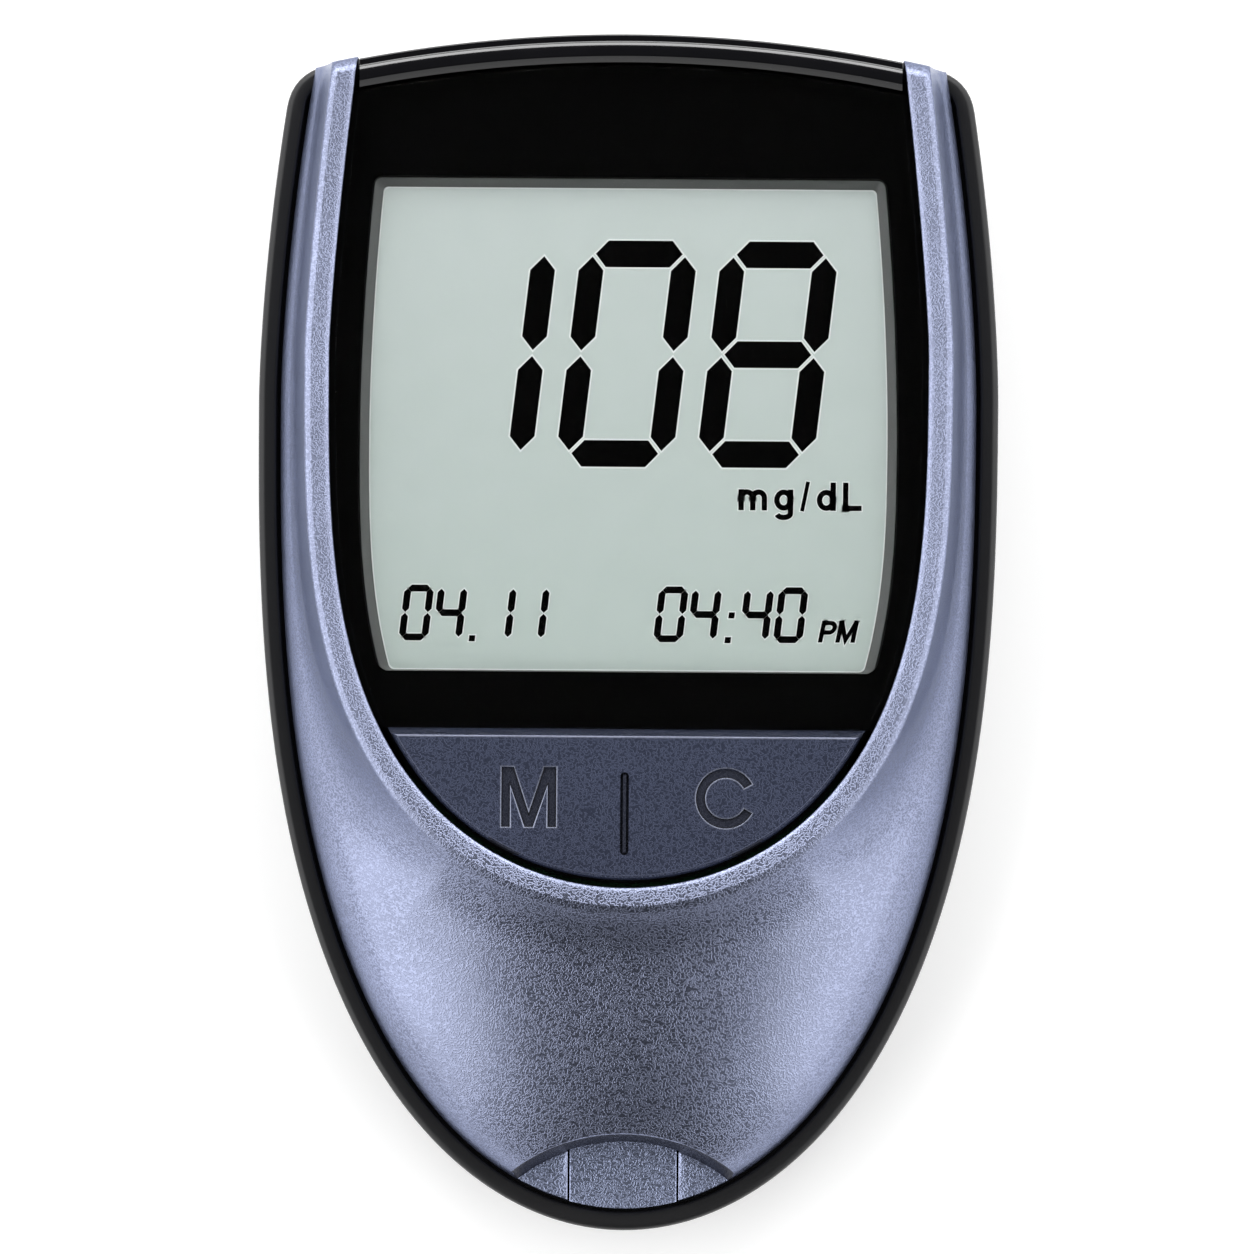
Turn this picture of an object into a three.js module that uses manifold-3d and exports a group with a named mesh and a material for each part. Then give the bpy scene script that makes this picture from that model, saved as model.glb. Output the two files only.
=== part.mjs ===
// Pocket blood glucose meter, lying on its back, in millimetres.
// +X is to the right of the display, +Y runs to the top end, +Z points out of the display.
// The origin is the middle of the flat back.
import * as THREE from "three";
import { mergeVertices } from "three/addons/utils/BufferGeometryUtils.js";
import Module from "manifold-3d";

const wasm = await Module();
wasm.setup();

// Clearances and common sizes
const fitGap = 0.3;
const filmGap = 0.1;
const cutOverrun = 2;

// Cells and their bay, which set the depth of the rear case and the middle of its length
const cellDiameter = 10.5;
const cellLength = 44.5;
const cellNubDiameter = 3.8;
const cellNubLength = 1;
const cellSpacing = 0.8;
const cellClearance = 0.4;
const bayWall = 1.5;
const bayCeiling = 0.8;
const contactThickness = 0.3;
const contactWidth = 8.4;
const contactHeight = 8.4;
const springLength = 4.2;
const springWire = 0.5;
const springTurns = 4;
const springRadius = 3.3;
const springTipRadius = 2.4;
const doorThickness = 1.3;
const doorOverlap = 1;
const cellRadius = cellDiameter / 2;
const cellX = cellRadius + cellSpacing / 2;
const cellZ = doorThickness + cellClearance + cellRadius;
const bayHalfWidth = cellX + cellRadius + cellClearance;
const bayLength = cellLength + springLength + 2 * contactThickness + 4 * filmGap;
const bayCeilingZ = cellZ + cellRadius + cellClearance;

// Body: the port at the tip, the cell bay and the head follow each other along its length
const scoopApexFromTip = 7.9;
const scoopWall = 1.2;
const guideTail = 2.6;
const connectorLength = 10.4;
const connectorToPost = 0.65;
const postRadius = 2.4;
const headLength = 17.65;
const portLength = scoopApexFromTip + scoopWall + guideTail + fitGap + connectorLength;
const noseLength = portLength + connectorToPost + 2 * postRadius + fitGap + bayWall;
const bodyLength = noseLength + bayLength + headLength;
const bodyWidth = 60;
const topArcRadius = 115;
const topCornerRadius = 2.8;
const tipY = -bodyLength / 2;
const topY = bodyLength / 2;
const bayLowY = tipY + noseLength;
const bayHighY = bayLowY + bayLength;
const bayCentreY = (bayLowY + bayHighY) / 2;

// The plan outline is an egg: halfWidth at widestY, lowerReach down to the tip,
// upperReach up to where the sides would close above the top end.
const caseWidestFromTop = 29.9;
const caseEgg = {
  halfWidth: bodyWidth / 2,
  widestY: topY - caseWidestFromTop,
  lowerShapeShare: 2.7,
  upperReach: 81.3,
  upperShapeShare: 1.63,
};
caseEgg.lowerReach = caseEgg.widestY - tipY;

// Battery door
const doorCorner = 2;
const doorHalfWidth = bayHalfWidth + doorOverlap;
const doorLatchLength = 3;
const doorHingeLength = 3.6;
const doorLowY = bayLowY - doorLatchLength;
const doorHighY = bayHighY + doorHingeLength;
const hingeY = doorHighY + fitGap / 2;
const doorSeatZ = doorThickness + fitGap;
const doorSeatHeight = 1.6;
const doorSeatWidth = 1.8;
const hookX = 6.5;
const hookWidth = 4;
const hookReach = 1.9;
const hookRoot = 1.4;
const hookThickness = 1.1;
const gripWidth = 10;
const gripLength = 4.4;
const gripDepth = 0.5;

// Stack from the cell bay up to the collar of the front cover
const boardThickness = 1;
const reflectorThickness = 0.3;
const glassThickness = 1.1;
const polarizerThickness = 0.2;
const bezelThickness = 0.8;
const maskThickness = 0.15;
const lensThickness = 1.2;
const lensRecess = 0.3;
const collarFall = 0.5;
const boardBottomZ = bayCeilingZ + bayCeiling + fitGap;
const boardTopZ = boardBottomZ + boardThickness;
const underBoardZ = boardBottomZ - filmGap;
const scoopFloorBelowBoard = 3;
const scoopFloorZ = underBoardZ - scoopFloorBelowBoard;
const reflectorZ = boardTopZ + fitGap;
const cellGlassZ = reflectorZ + reflectorThickness + filmGap;
const frontGlassZ = cellGlassZ + glassThickness;
const polarizerZ = frontGlassZ + glassThickness;
const bezelZ = polarizerZ + polarizerThickness + filmGap;
const bezelTopZ = bezelZ + bezelThickness;
const maskZ = bezelTopZ + filmGap;
const lensZ = maskZ + maskThickness + filmGap;
const lensTopZ = lensZ + lensThickness;
const collarInnerZ = lensTopZ + lensRecess;
const creaseZ = collarInnerZ + collarFall;

// Rear case
const caseRimBelowScoop = 1;
const caseRimHeight = scoopFloorZ - caseRimBelowScoop;
const caseRimWidth = 1.8;
const caseLip = caseRimWidth - fitGap;
const caseWall = 1.6;
const backEdgeWidth = 6;
const backEdgeHeight = 7.3;
const ledgeDepth = 1.7;
const ledgeWidth = 1.7;
const ledgeThickness = 1.3;
const ledgeZ = caseRimHeight - ledgeDepth;

// Front cover: a horseshoe shell with a raised collar round its opening
const railWidth = 4;
const collarWidth = 2;
const collarFootWidth = 1.9;
const collarFootPowerShare = 2.2;
const collarFootLimitShare = 0.6;
const crownDrop = 1.2;
const domeShapeShare = 2.2;
const coverWall = 1.7;
const coverSideWall = 1.5;
const railEndRadius = 1.5;
const shoulderZ = caseRimHeight + fitGap;
const skirtZ = ledgeZ + fitGap;
const pivotY = 0;
const openingWidestFromTop = 25.8;
const openingEgg = {
  halfWidth: bodyWidth / 2 - caseRimWidth - railWidth,
  widestY: topY - openingWidestFromTop,
  lowerReach: 43.3,
  lowerShapeShare: 3.24,
  upperReach: 93.8,
  upperShapeShare: 1.29,
};
const openingLowY = openingEgg.widestY - openingEgg.lowerReach;

// Test strip port at the tip: a scoop with a curved back wall
const scoopRadius = 14.55;
const scoopTaper = 0.8;
const scoopFloorThickness = 1.6;
const scoopCentreY = tipY + scoopApexFromTip - scoopRadius;
const stripWidth = 7.4;
const stripSlotHeight = 0.9;
const guideWidth = 8.4;
const guideSink = 0.15;
const guideTopZ = scoopFloorZ - guideSink;
const guideBackY = scoopCentreY + scoopRadius + scoopWall + guideTail;

// Top cap between the two rails
const capDepth = 2.5;
const capWall = 1.6;
const capRound = 1.2;
const capLip = 1.9;

// Display window, lens and key
const lensInset = 0.45;
const lensTopGap = capDepth + fitGap;
const keyGap = 0.6;
const keyLength = 12.2;
const keyTopY = openingLowY + keyLength;
const keyBevel = 0.6;
const keyEdge = 0.4;
const keyThickness = 2;
const lensLowY = keyTopY + keyBevel + filmGap;
const windowBorder = 2.45;
const windowWidestDrop = 7.2;
const windowEgg = {
  halfWidth: openingEgg.halfWidth - windowBorder,
  widestY: openingEgg.widestY - windowWidestDrop,
  lowerReach: 36.1,
  lowerShapeShare: 2.81,
  upperReach: 74.9,
  upperShapeShare: 1.82,
};
const windowFromKey = 4.5;
const windowLength = 39.9;
const windowLowY = lensLowY + windowFromKey;
const windowHighY = windowLowY + windowLength;
const windowBevel = 0.7;
const frameInset = 0.35;
const frameWall = 1.8;
const keyFloorThickness = 0.7;
const keyFloorRise = 1;
const keyTopZ = lensTopZ - filmGap;
const keyBottomZ = keyTopZ - keyThickness;
const pivotDrop = 0.2;
const pivotRadius = 0.7;
const pivotZ = keyBottomZ - pivotDrop;
const keyFloorZ = boardTopZ + keyFloorRise;
const keyFloorTopZ = keyFloorZ + keyFloorThickness;

// Snap domes under the key
const domeX = 9.2;
const domeRadius = 3.2;
const domeHeight = 0.5;
const plungerRadius = 1.3;
const domeY = (keyTopY + openingLowY) / 2 + keyGap;

// Display parts
const glassMargin = 0.8;
const glassHalfWidth = windowEgg.halfWidth - windowBevel + glassMargin;
const glassEndMargin = 1.2;
const glassLowY = windowLowY - glassEndMargin;
const glassHighY = windowHighY + glassMargin;
const glassLedge = 2.8;
const connectorInset = 0.3;

// Circuit board
const boardShare = 0.7;
const boardHighY = windowHighY + glassMargin;
const boardTongueHalfWidth = 15.4;
const boardTongueLength = 6.4;
const boardTongueHighY = boardHighY + boardTongueLength;
const boardHoleRadius = 1.15;

// Screws
const screwShaftRadius = 0.9;
const screwHeadRadius = 1.8;
const screwHeadHeight = 1.2;
const caseScrewLength = 11;
const boardScrewLength = 6;
const screwSink = 1.2;
const screwSeatZ = screwSink + screwHeadHeight;
const bossRadius = 3;
const postJointDrop = 1;
const postJoint = caseRimHeight - postJointDrop;
const threadGap = 0.15;
const upperScrewX = 21;
const upperScrewFromTop = 8.2;
const upperScrewY = topY - upperScrewFromTop;
const lowerScrewX = 15.5;
const lowerScrewFromTip = 22.5;
const lowerScrewY = tipY + lowerScrewFromTip;
const boardScrewFromEdge = 2.6;
const boardScrewX = boardTongueHalfWidth - boardScrewFromEdge;
const boardScrewY = boardTongueHighY - boardScrewFromEdge;
const lowBoardScrewY = bayLowY - bayWall - postRadius - fitGap;

// Outlines

/** One point of an egg's right side, moved outwards by grow; share runs 0 to 1 from tip to waist. */
function eggLowerPoint(egg, share, grow) {
  const angle = share * Math.PI / 2;
  const level = Math.cos(angle) ** (2 / egg.lowerShapeShare);
  const x = egg.halfWidth * Math.sin(angle);
  const y = egg.widestY - egg.lowerReach * level;
  const slopeX = 2 * x / egg.halfWidth ** 2;
  const slopeY = -egg.lowerShapeShare * level ** (egg.lowerShapeShare - 1) / egg.lowerReach;
  const normal = new THREE.Vector2(slopeX, slopeY).normalize();
  return new THREE.Vector2(x, y).addScaledVector(normal, grow);
}

/** One point of an egg's right side above its waist, at the height y, moved outwards by grow. */
function eggUpperPoint(egg, y, grow) {
  const level = (y - egg.widestY) / egg.upperReach;
  const x = egg.halfWidth * Math.sqrt(1 - level ** egg.upperShapeShare);
  const slopeX = 2 * x / egg.halfWidth ** 2;
  const slopeY = egg.upperShapeShare * level ** (egg.upperShapeShare - 1) / egg.upperReach;
  const normal = new THREE.Vector2(slopeX, slopeY).normalize();
  return new THREE.Vector2(x, y).addScaledVector(normal, grow);
}

/** The right side of an egg from its tip to beyond the top end, as a fine polyline. */
function eggSide(egg, grow) {
  const lowerSteps = 90;
  const upperSteps = 40;
  const highY = topY + topCornerRadius;
  const points = [];
  for (let i = 0; i <= lowerSteps; i++) points.push(eggLowerPoint(egg, i / lowerSteps, grow));
  for (let i = 1; i <= upperSteps; i++) {
    const y = egg.widestY + (highY - egg.widestY) * i / upperSteps;
    points.push(eggUpperPoint(egg, y, grow));
  }
  return points;
}

/** How far a ray from origin along direction runs before it meets a polyline. */
function rayReach(side, origin, direction) {
  const slack = 1e-9;
  let reach = 0;
  for (let i = 0; i + 1 < side.length; i++) {
    const edge = side[i + 1].clone().sub(side[i]);
    const toStart = side[i].clone().sub(origin);
    const across = direction.cross(edge);
    if (across === 0) continue;
    const along = toStart.cross(edge) / across;
    const share = toStart.cross(direction) / across;
    if (share >= -slack && share <= 1 + slack && along > reach) reach = along;
  }
  return reach;
}

/** Half the width of a side polyline at the height y. */
function halfWidthAt(side, y) {
  return rayReach(side, new THREE.Vector2(0, y), new THREE.Vector2(1, 0));
}

/** Height of the arched top end at x, drawn in by inset. */
function topArcY(x, inset = 0) {
  const radius = topArcRadius - inset;
  return topY - topArcRadius + Math.sqrt(radius ** 2 - x ** 2);
}

/** A right half from the bottom up, joined to its mirror image. */
function mirrored(right) {
  const left = right.filter((p) => p.x > 0).map((p) => new THREE.Vector2(-p.x, p.y)).reverse();
  return [...right, ...left];
}

/** Where a side polyline crosses the top arc. */
function topCorner(side, inset) {
  let low = caseEgg.widestY;
  let high = topY;
  for (let i = 0; i < 40; i++) {
    const y = (low + high) / 2;
    if (topArcY(halfWidthAt(side, y), inset) > y) low = y;
    else high = y;
  }
  return new THREE.Vector2(halfWidthAt(side, low), low);
}

/** The case outline drawn in by inset, always with the same number of points. */
function caseOutline(inset) {
  const lowerSteps = 13;
  const upperSteps = 6;
  const arcSteps = 5;
  const side = eggSide(caseEgg, -inset);
  const corner = topCorner(side, inset);
  const round = Math.max(topCornerRadius - inset, topCornerRadius / 4);
  const startY = corner.y - round;
  const endX = corner.x - round;
  const right = [];
  for (let i = 0; i < lowerSteps; i++) right.push(eggLowerPoint(caseEgg, i / lowerSteps, -inset));
  for (let i = 0; i < upperSteps; i++) {
    const y = caseEgg.widestY + (startY - caseEgg.widestY) * i / upperSteps;
    right.push(new THREE.Vector2(halfWidthAt(side, y), y));
  }
  const bend = new THREE.QuadraticBezierCurve(
    new THREE.Vector2(halfWidthAt(side, startY), startY),
    corner,
    new THREE.Vector2(endX, topArcY(endX, inset)),
  );
  right.push(...bend.getPoints(3));
  for (let i = 1; i < arcSteps; i++) {
    const x = endX * (1 - i / arcSteps);
    right.push(new THREE.Vector2(x, topArcY(x, inset)));
  }
  right.push(new THREE.Vector2(0, topArcY(0, inset)));
  return mirrored(right);
}

/** An egg drawn in by inset and cut level at lowY, with its top made by the function highY(x). */
function cutEggOutline(egg, inset, lowY, highY) {
  const sideSteps = 12;
  const topSteps = 10;
  const side = eggSide(egg, -inset);
  let cornerY = highY(0);
  for (let i = 0; i < 20; i++) cornerY = highY(halfWidthAt(side, cornerY));
  const right = [];
  for (let i = 0; i <= sideSteps; i++) {
    const y = lowY + (cornerY - lowY) * i / sideSteps;
    right.push(new THREE.Vector2(halfWidthAt(side, y), y));
  }
  const cornerX = right.at(-1).x;
  for (let i = 1; i < topSteps; i++) {
    const x = cornerX * (1 - i / topSteps);
    right.push(new THREE.Vector2(x, highY(x)));
  }
  right.push(new THREE.Vector2(0, highY(0)));
  return mirrored(right);
}

/** The half-moon under the lens: the opening drawn in by inset, below the level cutY. */
function halfMoonOutline(inset, cutY) {
  const steps = 30;
  const side = eggSide(openingEgg, -inset);
  const origin = new THREE.Vector2(0, cutY);
  const right = [];
  for (let i = 0; i <= steps / 2; i++) {
    const angle = -Math.PI / 2 * (1 - 2 * i / steps);
    const direction = new THREE.Vector2(Math.cos(angle), Math.sin(angle));
    const reach = rayReach(side, origin, direction);
    right.push(origin.clone().addScaledVector(direction, reach));
  }
  right[0].x = 0;
  return mirrored(right);
}

/** A rectangle with rounded corners, given by its half width and its two levels. */
function roundedRectangle(halfWidth, lowY, highY, radius) {
  const shape = new THREE.Shape();
  shape.absarc(halfWidth - radius, lowY + radius, radius, -Math.PI / 2, 0);
  shape.absarc(halfWidth - radius, highY - radius, radius, 0, Math.PI / 2);
  shape.absarc(radius - halfWidth, highY - radius, radius, Math.PI / 2, Math.PI);
  shape.absarc(radius - halfWidth, lowY + radius, radius, Math.PI, Math.PI * 3 / 2);
  return shape.extractPoints(3).shape;
}

// Solids

/** A closed three.js geometry as a solid that can be cut and joined. */
function toSolid(geometry) {
  const bare = geometry.clone();
  bare.deleteAttribute("normal");
  bare.deleteAttribute("uv");
  const merged = mergeVertices(bare, 1e-5);
  const vertProperties = new Float32Array(merged.attributes.position.array);
  const triVerts = new Uint32Array(merged.index.array);
  return new wasm.Manifold(new wasm.Mesh({ numProp: 3, vertProperties, triVerts }));
}

/** A solid as a three.js geometry. */
function toGeometry(solid) {
  const mesh = solid.getMesh();
  const geometry = new THREE.BufferGeometry();
  geometry.setAttribute("position", new THREE.BufferAttribute(mesh.vertProperties, 3));
  geometry.setIndex(new THREE.BufferAttribute(mesh.triVerts, 1));
  geometry.computeVertexNormals();
  return geometry;
}

/** Joins any number of solids. */
function joined(...solids) {
  return solids.reduce((whole, solid) => whole.add(solid));
}

/** Cuts every later solid out of the first. */
function cut(solid, ...tools) {
  return tools.reduce((rest, tool) => rest.subtract(tool), solid);
}

/** A box between two corners. */
function box(x0, x1, y0, y1, z0, z1) {
  const geometry = new THREE.BoxGeometry(x1 - x0, y1 - y0, z1 - z0);
  geometry.translate((x0 + x1) / 2, (y0 + y1) / 2, (z0 + z1) / 2);
  return toSolid(geometry);
}

/** An upright cylinder or cone between two levels. */
function upright(x, y, z0, z1, lowRadius, highRadius = lowRadius, sides = 20) {
  const geometry = new THREE.CylinderGeometry(highRadius, lowRadius, z1 - z0, sides);
  geometry.rotateX(Math.PI / 2);
  geometry.translate(x, y, (z0 + z1) / 2);
  return toSolid(geometry);
}

/** A flat plate with the outline, between two levels, with holes if any are given. */
function plate(outline, z0, z1, holes = []) {
  const shape = new THREE.Shape(outline);
  shape.holes = holes.map((hole) => new THREE.Path([...hole].reverse()));
  const geometry = new THREE.ExtrudeGeometry(shape, { depth: z1 - z0, bevelEnabled: false });
  geometry.translate(0, 0, z0);
  return toSolid(geometry);
}

/** A skin through rings of equal length, closed by a flat cap at each end. */
function loft(rings, flatten) {
  const count = rings[0].length;
  const positions = rings.flat().flatMap((p) => [p.x, p.y, p.z]);
  const triangles = [];
  for (let r = 0; r + 1 < rings.length; r++) {
    for (let i = 0; i < count; i++) {
      const a = r * count + i;
      const b = r * count + (i + 1) % count;
      triangles.push([a, b, b + count], [a, b + count, a + count]);
    }
  }
  const last = (rings.length - 1) * count;
  for (const face of THREE.ShapeUtils.triangulateShape(rings[0].map(flatten), [])) {
    triangles.push(facing(face, rings[0].map(flatten), -1));
  }
  for (const face of THREE.ShapeUtils.triangulateShape(rings.at(-1).map(flatten), [])) {
    triangles.push(facing(face, rings.at(-1).map(flatten), 1).map((i) => i + last));
  }
  const geometry = new THREE.BufferGeometry();
  geometry.setAttribute("position", new THREE.Float32BufferAttribute(positions, 3));
  const wound = signedVolume(rings.flat(), triangles) < 0
    ? triangles.map(([a, b, c]) => [a, c, b])
    : triangles;
  geometry.setIndex(wound.flat());
  return toSolid(geometry);
}

/** A cap triangle turned so that its winding matches the ring's, times the wanted sign. */
function facing(face, ring, sign) {
  const [a, b, c] = face.map((i) => ring[i]);
  const turn = b.clone().sub(a).cross(c.clone().sub(a)) * THREE.ShapeUtils.area(ring);
  return turn * sign > 0 ? face : [face[0], face[2], face[1]];
}

/** Six times the volume inside a triangle list, negative where its faces point inwards. */
function signedVolume(points, triangles) {
  return triangles.reduce((sum, [a, b, c]) => {
    return sum + points[a].dot(points[b].clone().cross(points[c]));
  }, 0);
}

const seenFromAbove = (p) => new THREE.Vector2(p.x, p.y);

/** Lifts a plan outline to the height z. */
function ringAt(outline, z) {
  return outline.map((p) => new THREE.Vector3(p.x, p.y, z));
}

// Rear case

/** The tub: outer skin from the flat back to the rim, then the inner skin back down. */
function caseTub() {
  const rings = [];
  const outerSteps = 5;
  for (let i = 0; i <= outerSteps; i++) {
    const angle = Math.PI / 2 * (1 - i / outerSteps);
    const inset = backEdgeWidth * (1 - Math.cos(angle));
    rings.push(ringAt(caseOutline(inset), backEdgeHeight * (1 - Math.sin(angle))));
  }
  const ledgeInset = caseLip + ledgeWidth;
  rings.push(ringAt(caseOutline(0), caseRimHeight));
  rings.push(ringAt(caseOutline(caseLip), caseRimHeight));
  rings.push(ringAt(caseOutline(caseLip), ledgeZ));
  rings.push(ringAt(caseOutline(ledgeInset), ledgeZ));
  rings.push(ringAt(caseOutline(ledgeInset), ledgeZ - ledgeThickness));
  const innerSteps = 4;
  for (let i = 1; i <= innerSteps; i++) {
    const angle = Math.PI / 2 * i / innerSteps;
    const inset = backEdgeWidth - (backEdgeWidth - ledgeInset) * Math.cos(angle);
    const drop = (ledgeZ - ledgeThickness - caseWall) * Math.sin(angle);
    rings.push(ringAt(caseOutline(inset), ledgeZ - ledgeThickness - drop));
  }
  return loft(rings, seenFromAbove);
}

/** The open box that holds the two cells, with the frame that the door closes on. */
function cellBay() {
  const halfWidth = bayHalfWidth + bayWall;
  const ceilingTop = bayCeilingZ + bayCeiling;
  const frameHalf = doorHalfWidth + fitGap + doorSeatWidth;
  const frameLow = doorLowY - fitGap - doorSeatWidth;
  const frameHigh = doorHighY + fitGap + hookReach + doorSeatWidth;
  const walls = box(-halfWidth, halfWidth, bayLowY - bayWall, bayHighY + bayWall, doorSeatZ, ceilingTop);
  const frame = box(-frameHalf, frameHalf, frameLow, frameHigh, caseWall / 2, doorSeatZ + doorSeatHeight);
  const hookTop = doorSeatZ + fitGap + hookThickness + hookReach;
  const block = box(-frameHalf, frameHalf, bayHighY, frameHigh, caseWall, hookTop + bayWall);
  return joined(walls, frame, block);
}

/** The space that the door, its hooks and the cells take out of the case. */
function bayHollow() {
  const recess = roundedRectangle(
    doorHalfWidth + fitGap, doorLowY - fitGap, doorHighY + fitGap, doorCorner + fitGap,
  );
  const hookTop = doorSeatZ + fitGap + hookThickness + hookReach;
  const hooks = [-hookX, hookX].map((x) => {
    const half = hookWidth / 2 + fitGap;
    const low = hingeY - hookReach - hookThickness - 2 * fitGap;
    return box(x - half, x + half, low, doorHighY + hookReach + fitGap, doorThickness, hookTop);
  });
  const cells = box(-bayHalfWidth, bayHalfWidth, bayLowY, bayHighY, -cutOverrun, bayCeilingZ);
  return joined(cells, plate(recess, -cutOverrun, doorSeatZ), ...hooks);
}

const caseScrewPlaces = [
  [-upperScrewX, upperScrewY], [upperScrewX, upperScrewY],
  [-lowerScrewX, lowerScrewY], [lowerScrewX, lowerScrewY],
];
const boardScrewPlaces = [
  [-boardScrewX, boardScrewY], [boardScrewX, boardScrewY], [0, lowBoardScrewY],
];

const labelHalfWidth = 8.5;
const labelLength = 9;
const labelThickness = 0.2;
const labelCorner = 0.8;
const labelFromTip = 12.5;
const labelLowY = tipY + labelFromTip;

/** Rear half of the housing, with its black rim, cell bay, bosses and label recess. */
function rearCase() {
  const bosses = caseScrewPlaces.map(([x, y]) => upright(x, y, caseWall / 2, postJoint, bossRadius));
  const sinks = caseScrewPlaces.map(([x, y]) => {
    const head = upright(x, y, -cutOverrun, screwSeatZ + filmGap, screwHeadRadius + fitGap);
    return head.add(upright(x, y, 0, postJoint + cutOverrun, screwShaftRadius + fitGap));
  });
  const pillarTop = boardBottomZ - filmGap;
  const pillars = boardScrewPlaces.map(([x, y]) => upright(x, y, caseWall / 2, pillarTop, postRadius));
  const pilots = boardScrewPlaces.map(([x, y]) => {
    const low = boardTopZ - boardScrewLength - fitGap;
    return upright(x, y, low, pillarTop + cutOverrun, screwShaftRadius + threadGap);
  });
  const label = roundedRectangle(labelHalfWidth + fitGap, labelLowY - fitGap,
    labelLowY + labelLength + fitGap, labelCorner + fitGap);
  const recess = plate(label, -cutOverrun, 2 * labelThickness);
  const body = joined(caseTub(), cellBay(), ...bosses, ...pillars);
  return cut(body, bayHollow(), ...sinks, ...pilots, recess);
}

// Front cover

/** A line across the horseshoe, from the opening's edge to the outer edge. */
function crossLine(origin, target) {
  const direction = target.clone().sub(origin).normalize();
  return {
    origin,
    direction,
    inner: rayReach(eggSide(openingEgg, 0), origin, direction),
    crease: rayReach(eggSide(openingEgg, collarWidth), origin, direction),
    outer: rayReach(eggSide(caseEgg, -caseRimWidth), origin, direction),
  };
}

/** The lines of the right half, from the tip round to the top end of the rail. */
function rightCrossLines() {
  const lowerSteps = 15;
  const upperShares = [0.2, 0.42, 0.62, 0.8, 0.9, 0.95];
  const level = (caseEgg.widestY - pivotY) / caseEgg.lowerReach;
  const pivotShare = Math.acos(level ** (caseEgg.lowerShapeShare / 2)) * 2 / Math.PI;
  const pivot = new THREE.Vector2(0, pivotY);
  const lines = [];
  for (let i = 0; i <= lowerSteps; i++) {
    const share = pivotShare * i / lowerSteps;
    lines.push(crossLine(pivot, eggLowerPoint(caseEgg, share, -caseRimWidth)));
  }
  const innerEnd = topCorner(eggSide(openingEgg, 0), 0);
  const outerEnd = topCorner(eggSide(caseEgg, -caseRimWidth), 0);
  const slope = (outerEnd.y - innerEnd.y) / (outerEnd.x - innerEnd.x);
  const crossAt = (y, share) => {
    const origin = new THREE.Vector2(0, y);
    return crossLine(origin, new THREE.Vector2(outerEnd.x, y + slope * share * outerEnd.x));
  };
  const endY = innerEnd.y - slope * innerEnd.x;
  for (const share of upperShares) lines.push(crossAt(pivotY + (endY - pivotY) * share, share));
  for (const share of [0.75, 0.4, 0.12]) lines.push(crossAt(endY - railEndRadius * share, 1));
  lines.push(crossAt(endY, 1));
  return lines;
}

/** Height of the cover's face on a cross line, at the distance r from the line's origin. */
function coverHeight(line, r) {
  const point = line.origin.clone().addScaledVector(line.direction, r);
  const crownZ = creaseZ - crownDrop;
  const dome = (radius) => {
    const share = Math.min(radius / line.outer, 1);
    return shoulderZ + (crownZ - shoulderZ) * Math.sqrt(1 - share ** domeShapeShare);
  };
  const fromEnd = Math.max(0, railEndRadius - Math.max(0, topArcY(point.x) - point.y));
  const drop = railEndRadius - Math.sqrt(railEndRadius ** 2 - fromEnd ** 2);
  if (r <= line.crease) {
    const share = (line.crease - r) / (line.crease - line.inner);
    return creaseZ - collarFall * share - drop;
  }
  const foot = footWidth(line);
  const rest = Math.max(0, 1 - (r - line.crease) / foot);
  const step = (creaseZ - dome(line.crease)) * rest ** collarFootPowerShare;
  return dome(r) + step - drop * Math.min(1, (dome(r) + step - shoulderZ) / railEndRadius);
}

/** Width of the collar's foot, less where the rail is narrow. */
function footWidth(line) {
  return Math.min(collarFootWidth, collarFootLimitShare * (line.outer - line.crease));
}

/** The closed section on one cross line, hollow underneath or filled down to the skirt. */
function coverSection(line, hollow) {
  const at = (r, z) => {
    const p = line.origin.clone().addScaledVector(line.direction, r);
    return new THREE.Vector3(p.x, p.y, z);
  };
  const foot = line.crease + footWidth(line);
  const radii = [
    line.inner,
    ...[0, 0.15, 0.4, 0.7].map((share) => line.crease + footWidth(line) * share),
    ...[0, 0.35, 0.65, 0.86, 0.96].map((share) => foot + (line.outer - foot) * share),
  ];
  const points = radii.map((r) => at(r, coverHeight(line, r)));
  points.push(at(line.outer, shoulderZ), at(line.outer, skirtZ));
  if (!hollow) return [...points, at(line.inner, skirtZ)];
  const wallR = line.outer - coverSideWall;
  points.push(at(wallR, skirtZ));
  for (const share of [0, 0.16, 0.36, 0.6, 0.82, 1]) {
    const r = wallR + (line.inner - wallR) * share;
    const under = coverHeight(line, r) - coverWall;
    const beside = coverHeight(line, Math.min(r + coverSideWall, line.outer)) - fitGap;
    points.push(at(r, Math.max(Math.min(under, beside), skirtZ + fitGap)));
  }
  return points;
}

/** The horseshoe, swept through its cross lines from the left rail round to the right one. */
function horseshoe(hollow) {
  const right = rightCrossLines().map((line) => coverSection(line, hollow));
  const left = right.slice(1).map((ring) => ring.map((p) => new THREE.Vector3(-p.x, p.y, p.z)));
  const rings = [...left.reverse(), ...right];
  return loft(rings, (p) => new THREE.Vector2(Math.abs(p.x), p.z));
}

/** The cone whose curved side is the scoop's back wall, grown by a wall thickness. */
function scoopCone(lowZ, highZ, grow) {
  const rise = creaseZ - crownDrop - scoopFloorZ;
  const radiusAt = (z) => scoopRadius + grow + scoopTaper * ((z - scoopFloorZ) / rise - 1);
  return upright(0, scoopCentreY, lowZ, highZ, radiusAt(lowZ), radiusAt(highZ), 96);
}

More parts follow.
